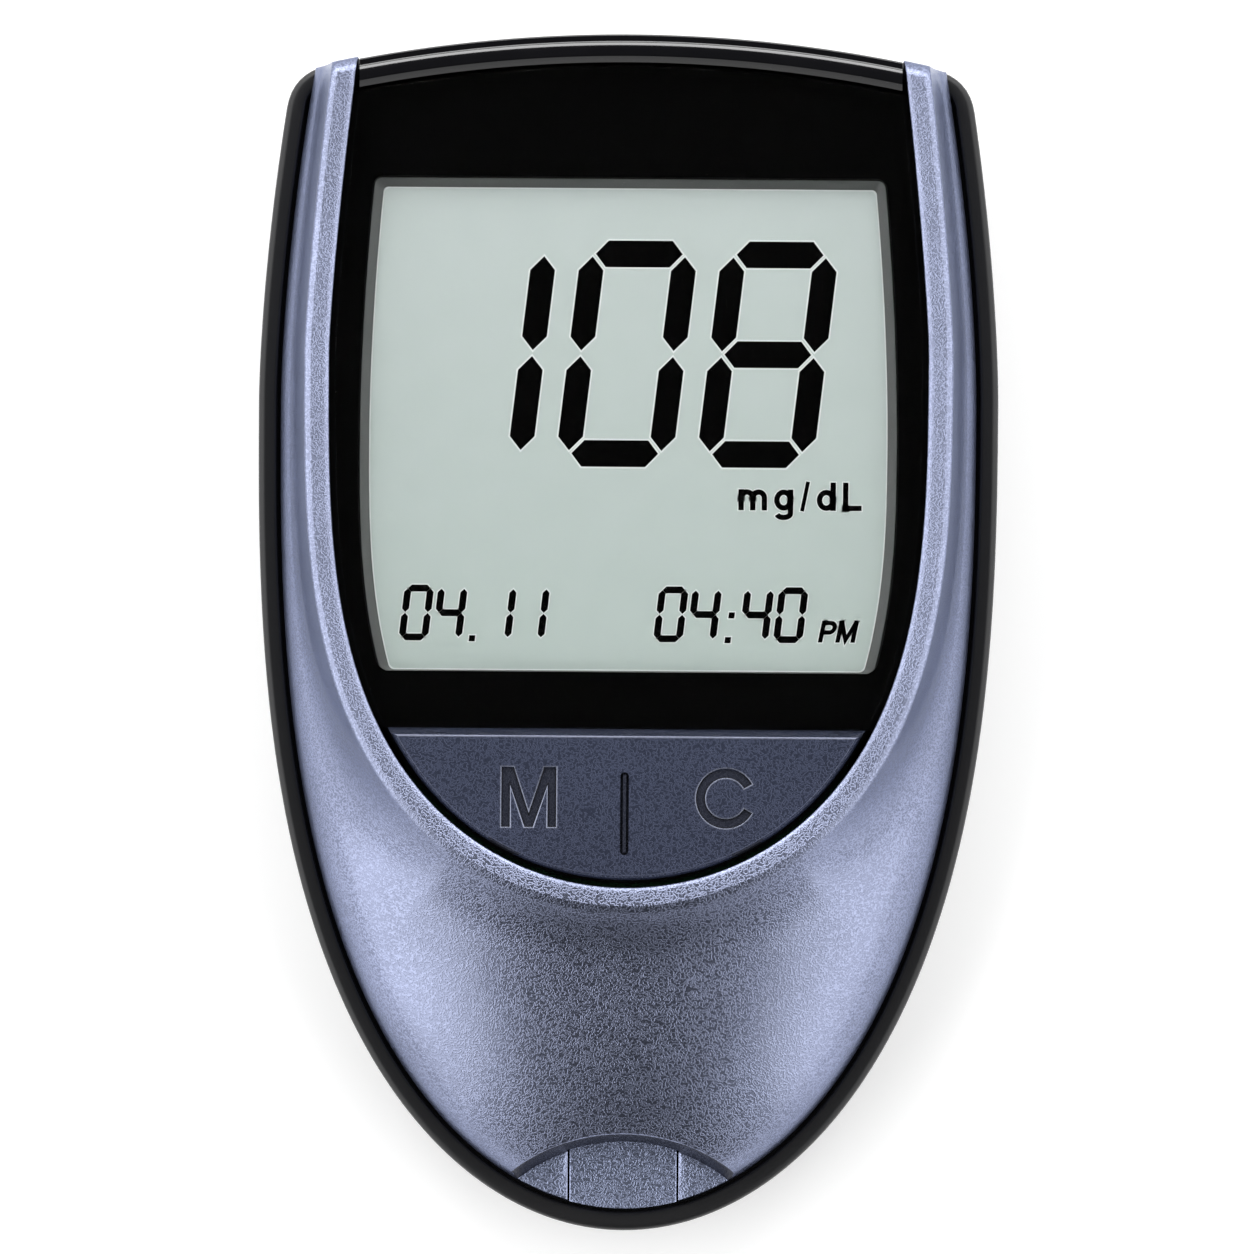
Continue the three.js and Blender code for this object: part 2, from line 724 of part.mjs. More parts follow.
/** Front half of the housing, with collar, screw posts and the port's scoop. */
function frontCover() {
  const filled = horseshoe(false);
  const highZ = creaseZ + cutOverrun;
  const beyond = caseOutline(-cutOverrun);
  const lipTool = plate(beyond, skirtZ - cutOverrun, shoulderZ, [caseOutline(caseRimWidth)]);
  const floorZ = scoopFloorZ - scoopFloorThickness;
  const curtain = scoopCone(floorZ, highZ, scoopWall).intersect(filled);
  const half = guideWidth / 2 + fitGap;
  const guideSlot = box(-half, half, tipY, guideBackY + fitGap, skirtZ - cutOverrun, scoopFloorZ);
  const stripSlot = box(-half, half, tipY, guideBackY, guideTopZ, guideTopZ + stripSlotHeight);
  const posts = caseScrewPlaces.slice(2).map(([x, y]) => {
    return upright(x, y, postJoint + fitGap, highZ, postRadius).intersect(filled);
  });
  const opening = cutEggOutline(openingEgg, -filmGap, domeY, levelAt(topY));
  const within = filled.add(plate(opening, skirtZ, bezelZ));
  const corners = caseScrewPlaces.slice(0, 2).map(([x, y]) => cornerBlock(x, y).intersect(within));
  const pilots = caseScrewPlaces.map(([x, y]) => {
    const top = screwSeatZ + caseScrewLength + fitGap;
    return upright(x, y, skirtZ - cutOverrun, top, screwShaftRadius + threadGap);
  });
  const body = joined(horseshoe(true), curtain, ...posts, ...corners);
  return cut(body, scoopCone(scoopFloorZ, highZ, 0), guideSlot, stripSlot, lipTool, ...pilots);
}

/** The block under a rail's upper end that takes a case screw. */
function cornerBlock(x, y) {
  const side = Math.sign(x);
  const outer = halfWidthAt(eggSide(caseEgg, -caseRimWidth - coverSideWall / 2), y);
  const inner = Math.abs(x) - postRadius;
  const [x0, x1] = [side * inner, side * outer].sort((a, b) => a - b);
  return box(x0, x1, y - postRadius, y + postRadius, postJoint + fitGap, bezelZ - fitGap);
}

/** The separate floor of the strip channel, from the tip in to the connector. */
function stripGuide() {
  const half = guideWidth / 2;
  const bar = box(-half, half, tipY, guideBackY, skirtZ, guideTopZ);
  const lipHeight = stripSlotHeight / 2;
  const lipWidth = (guideWidth - stripWidth) / 2;
  const groove = box(lipWidth - half, half - lipWidth, tipY - cutOverrun, guideBackY + cutOverrun,
    guideTopZ - lipHeight, guideTopZ + cutOverrun);
  const outline = plate(caseOutline(caseRimWidth), skirtZ - cutOverrun, creaseZ);
  return cut(bar.intersect(outline), groove);
}

// Top cap

/** The glossy bar across the top end, with a rounded front edge and a wall down to the rim. */
function topCap() {
  const steps = 16;
  const halfWidth = topCorner(eggSide(openingEgg, -fitGap), 0).x - fitGap;
  const highZ = collarInnerZ + collarFall / 2;
  const section = [
    [0, shoulderZ], [capWall, shoulderZ], [capWall, highZ - capLip], [capDepth, highZ - capLip],
  ];
  const rounding = 5;
  for (let i = 0; i <= 2 * rounding; i++) {
    const angle = Math.PI / 2 * i / rounding;
    const middle = capDepth / 2;
    section.push([middle + middle * Math.cos(angle), highZ - capRound + capRound * Math.sin(angle)]);
  }
  const rings = [];
  for (let i = 0; i <= steps; i++) {
    const x = halfWidth * (2 * i / steps - 1);
    rings.push(section.map(([depth, z]) => new THREE.Vector3(x, topArcY(x, depth), z)));
  }
  return loft(rings, (p) => new THREE.Vector2(p.y, p.z));
}

// Display and its frame

const lensHighY = (x) => topArcY(x, lensTopGap);
const levelAt = (y) => () => y;

/** Clear lens over the display. */
function displayLens() {
  return plate(cutEggOutline(openingEgg, lensInset, lensLowY, lensHighY), lensZ, lensTopZ);
}

/** Black print behind the lens, open over the display. */
function lensMask() {
  const edge = lensInset + filmGap;
  const highY = (x) => topArcY(x, lensTopGap + filmGap);
  const outline = cutEggOutline(openingEgg, edge, lensLowY + filmGap, highY);
  const window = cutEggOutline(windowEgg, -filmGap, windowLowY - filmGap, levelAt(windowHighY + filmGap));
  return plate(outline, maskZ, maskZ + maskThickness, [window]);
}

/** The sloping hole of the bezel. */
function windowHole() {
  const rise = bezelThickness;
  const rings = [-1, 0, 1, 2].map((level) => {
    const inset = windowBevel * (1 - level);
    const outline = cutEggOutline(windowEgg, inset, windowLowY + inset / 8, levelAt(windowHighY - inset));
    return ringAt(outline, bezelZ + rise * level);
  });
  return loft(rings, seenFromAbove);
}

/** Black frame inside the cover: bezel over the display, and floor and cradles under the key. */
function innerFrame() {
  const wallY = keyTopY + keyBevel + fitGap;
  const bezel = cut(
    plate(cutEggOutline(openingEgg, frameInset, wallY, (x) => topArcY(x, lensTopGap)), bezelZ, bezelTopZ),
    windowHole(),
  );
  const wallOutline = cutEggOutline(openingEgg, frameInset, wallY, levelAt(wallY + frameWall));
  const wall = plate(wallOutline, keyFloorZ, bezelTopZ);
  const floor = plate(halfMoonOutline(frameInset, wallY + frameWall / 2), keyFloorZ, keyFloorTopZ);
  const ribHalf = boardScrewX - screwHeadRadius - fitGap;
  const rib = box(-ribHalf, ribHalf, glassHighY + fitGap, glassHighY + fitGap + frameWall,
    cellGlassZ, bezelZ + filmGap);
  const body = joined(bezel, wall, floor, rib, ...cradles());
  return cut(body, ...[-domeX, domeX].map((x) => {
    return upright(x, domeY, keyFloorZ - fitGap, keyFloorTopZ + fitGap, plungerRadius + 2 * fitGap);
  }));
}

const cradleWidth = 3.4;
const cradleLength = 1.6;
const cradleFromEnds = 2.4;

/** Two blocks with round grooves that carry the key's pivot. */
function cradles() {
  const places = [keyTopY - cradleFromEnds, openingLowY + keyGap + cradleFromEnds];
  return places.map((y) => {
    const block = box(-cradleWidth / 2, cradleWidth / 2, y - cradleLength / 2, y + cradleLength / 2,
      keyFloorTopZ - fitGap, pivotZ - fitGap / 2);
    return cut(block, alongY(0, pivotZ, y - cradleLength, y + cradleLength, pivotRadius + fitGap));
  });
}

/** A cylinder along Y. */
function alongY(x, z, y0, y1, radius, sides = 16) {
  const geometry = new THREE.CylinderGeometry(radius, radius, y1 - y0, sides);
  geometry.translate(x, (y0 + y1) / 2, z);
  return toSolid(geometry);
}

/** The half-moon key, which rocks left and right on a bar along its middle. */
function rockerKey() {
  const shoulder = keyTopZ - keyEdge;
  const rings = [
    ringAt(halfMoonOutline(keyGap, keyTopY + keyBevel), keyBottomZ),
    ringAt(halfMoonOutline(keyGap, keyTopY + keyBevel), shoulder - keyEdge / 2),
    ringAt(halfMoonOutline(keyGap + keyEdge / 2, keyTopY + keyBevel / 3), shoulder + keyEdge / 2),
    ringAt(halfMoonOutline(keyGap + keyEdge, keyTopY), keyTopZ),
  ];
  const bar = alongY(0, pivotZ, openingLowY + keyGap + keyEdge * 2, keyTopY, pivotRadius);
  const tip = boardTopZ + domeHeight + 2 * filmGap;
  const plungers = [-domeX, domeX].map((x) => {
    return upright(x, domeY, tip, keyBottomZ + keyEdge, plungerRadius, plungerRadius, 14);
  });
  return joined(loft(rings, seenFromAbove), bar, ...plungers);
}

/** One snap dome on the board. */
function snapDome(x) {
  const steps = 4;
  const low = boardTopZ + filmGap / 2;
  const points = [new THREE.Vector2(0, 0), new THREE.Vector2(domeRadius, 0)];
  for (let i = 1; i <= steps; i++) {
    const share = i / steps;
    points.push(new THREE.Vector2(domeRadius * (1 - share), domeHeight * (1 - (1 - share) ** 2)));
  }
  const geometry = new THREE.LatheGeometry(points, 16);
  geometry.rotateX(Math.PI / 2);
  geometry.translate(x, domeY, low);
  return toSolid(geometry);
}

/** Two bonded glass plates; the front one is longer, and its ledge takes the contacts. */
function lcdCell() {
  const half = glassHalfWidth;
  const front = box(-half, half, glassLowY, glassHighY, frontGlassZ, frontGlassZ + glassThickness);
  return front.add(box(-half, half, glassLowY + glassLedge, glassHighY, cellGlassZ, frontGlassZ));
}

function lcdPolarizer() {
  const edge = glassMargin / 4;
  const half = glassHalfWidth - edge;
  return box(-half, half, glassLowY + edge, glassHighY - edge, polarizerZ, polarizerZ + polarizerThickness);
}

function lcdReflector() {
  const half = glassHalfWidth;
  return box(-half, half, glassLowY + glassLedge, glassHighY, reflectorZ, reflectorZ + reflectorThickness);
}

/** Rubber strip with fine conductors between the board and the glass ledge. */
function lcdConnectorStrip() {
  const half = glassHalfWidth - 2 * glassMargin;
  return box(-half, half, glassLowY + connectorInset, glassLowY + glassLedge - connectorInset,
    boardTopZ + filmGap, frontGlassZ - filmGap);
}

// Circuit board and what is on it

/** The board follows the case in the lower half and has a tongue at the top end. */
function boardOutline() {
  const steps = 9;
  const pivot = new THREE.Vector2(0, pivotY);
  const side = eggSide(caseEgg, -caseRimWidth);
  const right = [];
  for (let i = 0; i <= steps; i++) {
    const angle = -Math.PI / 2 * (1 - i / steps);
    const direction = new THREE.Vector2(Math.cos(angle), Math.sin(angle));
    right.push(pivot.clone().addScaledVector(direction, boardShare * rayReach(side, pivot, direction)));
  }
  right[0].x = 0;
  for (const share of [0.5, 1]) {
    const y = pivotY + (boardHighY - pivotY) * share;
    right.push(new THREE.Vector2(boardShare * halfWidthAt(side, y), y));
  }
  right.push(new THREE.Vector2(boardTongueHalfWidth, boardHighY));
  right.push(new THREE.Vector2(boardTongueHalfWidth, boardTongueHighY));
  return mirrored(right);
}

function mainBoard() {
  const holes = boardScrewPlaces.map(([x, y]) => {
    return upright(x, y, boardBottomZ - cutOverrun, boardTopZ + cutOverrun, boardHoleRadius);
  });
  return cut(plate(boardOutline(), boardBottomZ, boardTopZ), ...holes);
}

/** A part soldered under the board: a box of width x length x height. */
function underBoard(x, y, width, length, height) {
  return box(x - width / 2, x + width / 2, y - length / 2, y + length / 2, underBoardZ - height, underBoardZ);
}

const sideGap = 0.9;
const chipPitch = 9;
const capacitorFromCentre = 4;
const microcontrollerSize = [5, 5, 0.9];
const sideStripX = bayHalfWidth + bayWall + sideGap + microcontrollerSize[0] / 2;
const analogChipSize = [3.9, 4.9, 1.5];
const capacitorSize = [3.2, 6, 2.5];
const infraredSize = [9.8, 2.8, bezelZ - boardTopZ - fitGap - filmGap];
const crystalRadius = 1;
const crystalLength = 6;
const buzzerRadius = 4.2;
const buzzerHeight = 3.2;

/** A small cylindrical crystal that lies under the board. */
function clockCrystal() {
  const y = bayCentreY + crystalLength;
  return alongY(-sideStripX, underBoardZ - crystalRadius, y, y + crystalLength, crystalRadius, 12);
}

function buzzer() {
  const y = boardTongueHighY - buzzerRadius - fitGap;
  return cut(
    upright(0, y, underBoardZ - buzzerHeight, underBoardZ, buzzerRadius, buzzerRadius, 24),
    upright(0, y, underBoardZ - buzzerHeight - cutOverrun, underBoardZ - buzzerHeight / 2, buzzerRadius / 4),
  );
}

/** Light sender and receiver at the board's top edge, behind the cap. */
function infraredModule() {
  const [width, length, height] = infraredSize;
  const high = boardTongueHighY + length / 2;
  const low = boardTopZ + filmGap;
  const body = box(-width / 2, width / 2, high - length, high, low, low + height);
  const bulbs = [-width / 4, width / 4].map((x) => {
    const geometry = new THREE.SphereGeometry(height / 3, 12, 8);
    geometry.translate(x, high - height / 12, low + height / 2);
    return toSolid(geometry);
  });
  return joined(body, ...bulbs);
}

// Strip connector

const connectorHalfWidth = 6.2;
const connectorHeight = 3.5;
const connectorWall = 1;
const connectorFrontY = guideBackY + fitGap;
const connectorLowZ = underBoardZ - connectorHeight;
const stripSpaceZ = guideTopZ - stripSlotHeight / 2;
const contactPitch = 1.8;
const contactStripWidth = 0.7;
const contactStripThickness = 0.25;
const stripContactCount = 4;

/** Housing of the strip connector, open towards the port. */
function stripConnector() {
  const half = connectorHalfWidth;
  const backY = connectorFrontY + connectorLength;
  const body = box(-half, half, connectorFrontY, backY, connectorLowZ, underBoardZ);
  const inner = stripWidth / 2 + fitGap;
  const hollow = box(-inner, inner, connectorFrontY - cutOverrun, backY - connectorWall,
    stripSpaceZ, underBoardZ - connectorWall / 2);
  return cut(body, hollow);
}

/** One leaf contact in the connector, bent down to the strip's path and up again. */
function stripContact(index) {
  const x = (index - (stripContactCount - 1) / 2) * contactPitch;
  const back = connectorFrontY + connectorLength - connectorWall - filmGap;
  const high = underBoardZ - connectorWall / 2 - filmGap;
  const low = stripSpaceZ + stripSlotHeight / 2;
  const reach = connectorLength - 3 * connectorWall;
  const t = contactStripThickness;
  const profile = [
    [back, high], [back - t, high - t], [back - reach * 0.7, low], [back - reach, low + 3 * t],
    [back - reach, low + 4.2 * t], [back - reach * 0.7, low + 1.3 * t], [back - 1.2 * t, high],
  ].map(([y, z]) => new THREE.Vector2(y, z));
  const geometry = new THREE.ExtrudeGeometry(new THREE.Shape(profile), {
    depth: contactStripWidth, bevelEnabled: false,
  });
  geometry.applyMatrix4(new THREE.Matrix4().makeBasis(
    new THREE.Vector3(0, 1, 0), new THREE.Vector3(0, 0, 1), new THREE.Vector3(1, 0, 0),
  ));
  geometry.translate(x - contactStripWidth / 2, 0, 0);
  return toSolid(geometry);
}

// Cells and contacts

/** One cell along Y; positive is 1 where its nub points to the top end, else -1. */
function cell(x, positive) {
  const nubRadius = cellNubDiameter / 2;
  const edge = cellNubLength / 3;
  const can = cellLength - cellNubLength;
  const profile = [
    [0, 0], [cellRadius - edge, 0], [cellRadius, edge], [cellRadius, can - edge], [cellRadius - edge, can],
    [nubRadius, can], [nubRadius, cellLength - edge], [nubRadius - edge, cellLength], [0, cellLength],
  ].map(([r, y]) => new THREE.Vector2(r, y));
  const geometry = new THREE.LatheGeometry(profile, 24);
  const nubEnd = contactThickness + 2 * filmGap;
  if (positive > 0) geometry.translate(x, bayHighY - nubEnd - cellLength, cellZ);
  else geometry.rotateZ(Math.PI).translate(x, bayLowY + nubEnd + cellLength, cellZ);
  return toSolid(geometry);
}

/** A conical coil from a contact plate to the flat end of a cell. */
class CoilCurve extends THREE.Curve {
  constructor(x, plateY, towards) {
    super();
    this.x = x;
    this.plateY = plateY;
    this.towards = towards;
  }

  getPoint(t, target = new THREE.Vector3()) {
    const angle = t * springTurns * Math.PI * 2;
    const radius = springRadius + (springTipRadius - springRadius) * t;
    const run = springLength - springWire - filmGap;
    return target.set(
      this.x + radius * Math.cos(angle),
      this.plateY + this.towards * run * t,
      cellZ + radius * Math.sin(angle),
    );
  }
}

/** The wound wire of one spring contact. */
function coil(x, plateY, towards) {
  const wire = new THREE.Shape();
  wire.absarc(0, 0, springWire / 2, 0, Math.PI * 2);
  const section = new THREE.Shape(wire.getSpacedPoints(5).slice(0, 5));
  const path = new CoilCurve(x, plateY, towards);
  const stepsPerTurn = 8;
  const geometry = new THREE.ExtrudeGeometry(section, {
    steps: springTurns * stepsPerTurn, extrudePath: path, bevelEnabled: false,
  });
  return toSolid(geometry);
}

/** Least gap between the turns of a coil, on points along its wire. */
function coilGap() {
  const path = new CoilCurve(0, 0, 1);
  const stepsPerTurn = 24;
  const points = path.getPoints(springTurns * stepsPerTurn);
  let least = Infinity;
  for (let i = 0; i < points.length; i++) {
    for (let j = i + stepsPerTurn / 2; j < points.length; j++) {
      least = Math.min(least, points[i].distanceTo(points[j]));
    }
  }
  return least - springWire;
}

/** A contact plate at one end of the bay. */
function contactPlate(x0, x1, y) {
  return box(x0, x1, y - contactThickness / 2, y + contactThickness / 2,
    cellZ - contactHeight / 2, cellZ + contactHeight / 2);
}

const highPlateY = bayHighY - filmGap - contactThickness / 2;
const lowPlateY = bayLowY + filmGap + contactThickness / 2;
const springBend = contactThickness / 2 + springWire / 4;

/** The double contact that joins the two cells at the top end. */
function contactLink() {
  const bridge = contactPlate(-cellX - contactWidth / 2, cellX + contactWidth / 2, highPlateY);
  return bridge.add(coil(cellX, highPlateY - springBend, -1));
}

function contactNegative() {
  const flat = contactPlate(-cellX - contactWidth / 2, -cellX + contactWidth / 2, lowPlateY);
  return flat.add(coil(-cellX, lowPlateY + springBend, 1));
}

function contactPositive() {
  return contactPlate(cellX - contactWidth / 2, cellX + contactWidth / 2, lowPlateY);
}

// Door, screws and label

/** The door in the back, with two hooks at its hinge end and a grip at its latch end. */
function batteryDoor() {
  const outline = roundedRectangle(doorHalfWidth, doorLowY, doorHighY, doorCorner);
  const hookLow = doorSeatZ + fitGap;
  const hooks = [-hookX, hookX].map((x) => {
    const [x0, x1] = [x - hookWidth / 2, x + hookWidth / 2];
    const root = box(x0, x1, doorHighY - hookRoot, doorHighY, doorThickness / 2, hookLow + hookThickness);
    const reach = box(x0, x1, doorHighY - hookRoot, doorHighY + hookReach, hookLow, hookLow + hookThickness);
    return root.add(reach);
  });
  const gripLow = doorLowY + doorCorner;
  const grip = plate(roundedRectangle(gripWidth / 2, gripLow, gripLow + gripLength, gripLength / 3),
    -cutOverrun, gripDepth);
  return cut(joined(plate(outline, 0, doorThickness), ...hooks), grip);
}

/** A screw with a domed head; the head's seat is at z, and the shaft points up or down. */
function screw(x, y, z, length, upwards) {
  const domeSteps = 3;
  const points = [new THREE.Vector2(0, length), new THREE.Vector2(screwShaftRadius / 2, length)];
  points.push(new THREE.Vector2(screwShaftRadius, length - screwShaftRadius));
  points.push(new THREE.Vector2(screwShaftRadius, 0), new THREE.Vector2(screwHeadRadius, 0));
  for (let i = 0; i <= domeSteps; i++) {
    const angle = Math.PI / 2 * i / domeSteps;
    const fall = screwHeadHeight / 2 * (1 + Math.sin(angle));
    points.push(new THREE.Vector2(screwHeadRadius * Math.cos(angle / 1.6), -fall));
  }
  points.push(new THREE.Vector2(0, -screwHeadHeight));
  const geometry = new THREE.LatheGeometry(points.reverse(), 14);
  geometry.rotateX(upwards ? Math.PI / 2 : -Math.PI / 2);
  geometry.translate(x, y, z);
  return toSolid(geometry);
}

function rearLabel() {
  const low = labelThickness / 2;
  const outline = roundedRectangle(labelHalfWidth, labelLowY, labelLowY + labelLength, labelCorner);
  return plate(outline, low, low + labelThickness);
}

// Finishes

const finish = (color, roughness, metalness, extra = {}) => {
  return new THREE.MeshStandardMaterial({ color, roughness, metalness, ...extra });
};
const finishes = {
  coverPaint: finish(0x9aa0bc, 0.35, 0.6),
  keyPaint: finish(0x6a7290, 0.35, 0.6),
  blackSatin: finish(0x1c1c20, 0.5, 0),
  blackGloss: finish(0x0a0a0c, 0.1, 0),
  clear: finish(0xdfe6ea, 0.05, 0, { transparent: true, opacity: 0.3 }),
  mask: finish(0x050505, 0.4, 0),
  display: finish(0xc0cbc9, 0.4, 0),
  glass: finish(0xb8c4c0, 0.1, 0),
  board: finish(0x1f5a36, 0.5, 0),
  chip: finish(0x18181a, 0.6, 0),
  steel: finish(0xb9bcc0, 0.3, 0.9),
  gold: finish(0xc9a74e, 0.3, 0.9),
  rubber: finish(0x2a2a2e, 0.8, 0),
  label: finish(0xd8d9dc, 0.5, 0),
  cellSleeve: finish(0x3a4a6e, 0.35, 0.3),
};

// Assembly

const meter = new THREE.Group();

/** Adds one named piece. */
function add(name, solid, material) {
  const mesh = new THREE.Mesh(toGeometry(solid), material);
  mesh.name = name;
  meter.add(mesh);
}

add("rear_case", rearCase(), finishes.blackSatin);
add("front_cover", frontCover(), finishes.coverPaint);
add("top_cap", topCap(), finishes.blackGloss);
add("display_lens", displayLens(), finishes.clear);
add("lens_mask", lensMask(), finishes.mask);
add("inner_frame", innerFrame(), finishes.blackGloss);
add("rocker_key", rockerKey(), finishes.keyPaint);
add("dome_left", snapDome(-domeX), finishes.steel);
add("dome_right", snapDome(domeX), finishes.steel);
add("strip_guide", stripGuide(), finishes.keyPaint);
add("strip_connector", stripConnector(), finishes.chip);
for (let i = 0; i < stripContactCount; i++) add(`strip_contact_${i + 1}`, stripContact(i), finishes.gold);
add("lcd_cell", lcdCell(), finishes.glass);
add("lcd_polarizer", lcdPolarizer(), finishes.display);
add("lcd_reflector", lcdReflector(), finishes.label);
add("lcd_connector_strip", lcdConnectorStrip(), finishes.rubber);
add("main_board", mainBoard(), finishes.board);
add("microcontroller", underBoard(sideStripX, bayCentreY, ...microcontrollerSize), finishes.chip);
add("analog_chip", underBoard(sideStripX, bayCentreY - chipPitch, ...analogChipSize), finishes.chip);
const capacitorY = bayCentreY - capacitorFromCentre;
add("storage_capacitor", underBoard(-sideStripX, capacitorY, ...capacitorSize), finishes.gold);
add("clock_crystal", clockCrystal(), finishes.steel);
add("buzzer", buzzer(), finishes.chip);
add("infrared_module", infraredModule(), finishes.blackGloss);
add("battery_left", cell(-cellX, 1), finishes.cellSleeve);
add("battery_right", cell(cellX, -1), finishes.cellSleeve);
add("contact_link", contactLink(), finishes.steel);
add("contact_negative", contactNegative(), finishes.steel);
add("contact_positive", contactPositive(), finishes.steel);
add("battery_door", batteryDoor(), finishes.blackSatin);
caseScrewPlaces.forEach(([x, y], i) => {
  add(`case_screw_${i + 1}`, screw(x, y, screwSeatZ, caseScrewLength, true), finishes.steel);
});
boardScrewPlaces.forEach(([x, y], i) => {
  add(`board_screw_${i + 1}`, screw(x, y, boardTopZ + filmGap, boardScrewLength, false), finishes.steel);
});
add("rear_label", rearLabel(), finishes.label);

console.log(`least gap between the turns of a contact spring: ${coilGap().toFixed(2)} mm`);

export default meter;
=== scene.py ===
"""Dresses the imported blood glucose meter: painted cover, satin case, lens, display, key and door.

Lengths are in millimetres until a piece is finished, when its mesh is scaled to metres.
+X is to the right of the display, +Y runs to the top end and +Z points out of the display.
"""

import logging
import math
from dataclasses import dataclass, field
from enum import Enum
from typing import Callable, Iterable, Sequence

import bmesh
import bpy
import numpy as np
from mathutils import Matrix, Vector


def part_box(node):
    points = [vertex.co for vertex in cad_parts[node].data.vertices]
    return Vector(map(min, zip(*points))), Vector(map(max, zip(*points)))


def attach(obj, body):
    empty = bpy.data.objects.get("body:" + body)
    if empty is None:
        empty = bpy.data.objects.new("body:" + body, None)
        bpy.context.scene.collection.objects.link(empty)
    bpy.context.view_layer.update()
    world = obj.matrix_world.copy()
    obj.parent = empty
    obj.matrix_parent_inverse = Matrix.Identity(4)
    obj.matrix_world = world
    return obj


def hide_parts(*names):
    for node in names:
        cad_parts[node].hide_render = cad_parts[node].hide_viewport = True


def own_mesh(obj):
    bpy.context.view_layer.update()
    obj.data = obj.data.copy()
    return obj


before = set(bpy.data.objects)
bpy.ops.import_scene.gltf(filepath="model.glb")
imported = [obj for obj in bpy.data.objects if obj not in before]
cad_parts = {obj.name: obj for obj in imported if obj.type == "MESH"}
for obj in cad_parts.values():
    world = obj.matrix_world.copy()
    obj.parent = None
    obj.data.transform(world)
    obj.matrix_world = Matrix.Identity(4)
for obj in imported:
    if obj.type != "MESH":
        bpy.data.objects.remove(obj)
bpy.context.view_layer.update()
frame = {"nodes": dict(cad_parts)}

MM = 0.001
NEAR_ZERO = 1e-12
SLACK = 1e-9
MERGE_MM = 1e-6
OVERRUN_MM = 2.0
NORMAL_WEIGHT = 80
log = logging.getLogger("meter")

Point = tuple[float, float, float]
Flat = tuple[float, float]
Colour = tuple[float, float, float]
Path = Sequence[Flat]
Piece = bpy.types.Object
Material = bpy.types.Material
Socket = bpy.types.NodeSocket


class Operation(Enum):
    """How a tool changes the body that it meets."""

    ADD = "UNION"
    CUT = "DIFFERENCE"
    KEEP_COMMON = "INTERSECT"


class Grain(Enum):
    """The fine relief of a surface."""

    WRINKLE = "wrinkle"
    SPARK = "spark"
    POLISH = "polish"
    BRUSHED = "brushed"
    WEAVE = "weave"


# Plan shapes


@dataclass(frozen=True)
class Egg:
    """A plan outline: half_width at widest_y, closing at lower_reach below and upper_reach above."""

    half_width: float
    widest_y: float
    lower_reach: float
    lower_shape_share: float
    upper_reach: float
    upper_shape_share: float
    lower_steps: int = 420
    upper_steps: int = 160

    def side(self, grow: float, high_y: float) -> np.ndarray:
        """The right side from the tip upwards, moved outwards.

        Args:
            grow: How far each point moves outwards; below zero moves it inwards.
            high_y: The height at which the side ends.

        Returns:
            Points as rows of x and y.
        """
        angle = np.linspace(0, math.pi / 2, self.lower_steps)
        level = np.cos(angle).clip(0) ** (2 / self.lower_shape_share)
        x = self.half_width * np.sin(angle)
        y = self.widest_y - self.lower_reach * level
        slope = -self.lower_shape_share * level ** (self.lower_shape_share - 1) / self.lower_reach
        lower = self._moved(x, y, slope, grow)
        y = np.linspace(self.widest_y, high_y, self.upper_steps)[1:]
        level = (y - self.widest_y) / self.upper_reach
        x = self.half_width * np.sqrt(1 - level**self.upper_shape_share)
        slope = self.upper_shape_share * level ** (self.upper_shape_share - 1) / self.upper_reach
        return np.vstack([lower, self._moved(x, y, slope, grow)])

    def _moved(self, x: np.ndarray, y: np.ndarray, slope: np.ndarray, grow: float) -> np.ndarray:
        """Points moved along the outline's normals.

        Args:
            x: Sideways places.
            y: Lengthways places.
            slope: The normals' unscaled lengthways parts.
            grow: How far to move.

        Returns:
            Points as rows of x and y.
        """
        normal = np.stack([2 * x / self.half_width**2, slope], axis=1)
        normal /= np.linalg.norm(normal, axis=1)[:, None]
        return np.stack([x, y], axis=1) + grow * normal


def ray_reach(side: np.ndarray, origin: Flat, direction: Flat) -> float:
    """How far a ray runs before it leaves a side.

    Args:
        side: Points of the side as rows.
        origin: Where the ray starts.
        direction: The ray's unit direction.

    Returns:
        The distance to the furthest crossing.
    """
    start = side[:-1] - np.array(origin)
    edge = side[1:] - side[:-1]
    across = direction[0] * edge[:, 1] - direction[1] * edge[:, 0]
    across = np.where(np.abs(across) < NEAR_ZERO, np.nan, across)
    along = (start[:, 0] * edge[:, 1] - start[:, 1] * edge[:, 0]) / across
    share = (start[:, 0] * direction[1] - start[:, 1] * direction[0]) / across
    met = np.isfinite(along) & (share >= -SLACK) & (share <= 1 + SLACK)
    return float(along[met].max())


def mirrored(right: Path) -> list[Flat]:
    """A right half, from the bottom up, closed by its mirror image."""
    return [*right, *((-x, y) for x, y in reversed(right) if x > SLACK)]


def corners_mm(node: str) -> tuple[Vector, Vector]:
    """Lowest and highest corner of a node of the frame, in millimetres."""
    low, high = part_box(node)
    return low / MM, high / MM


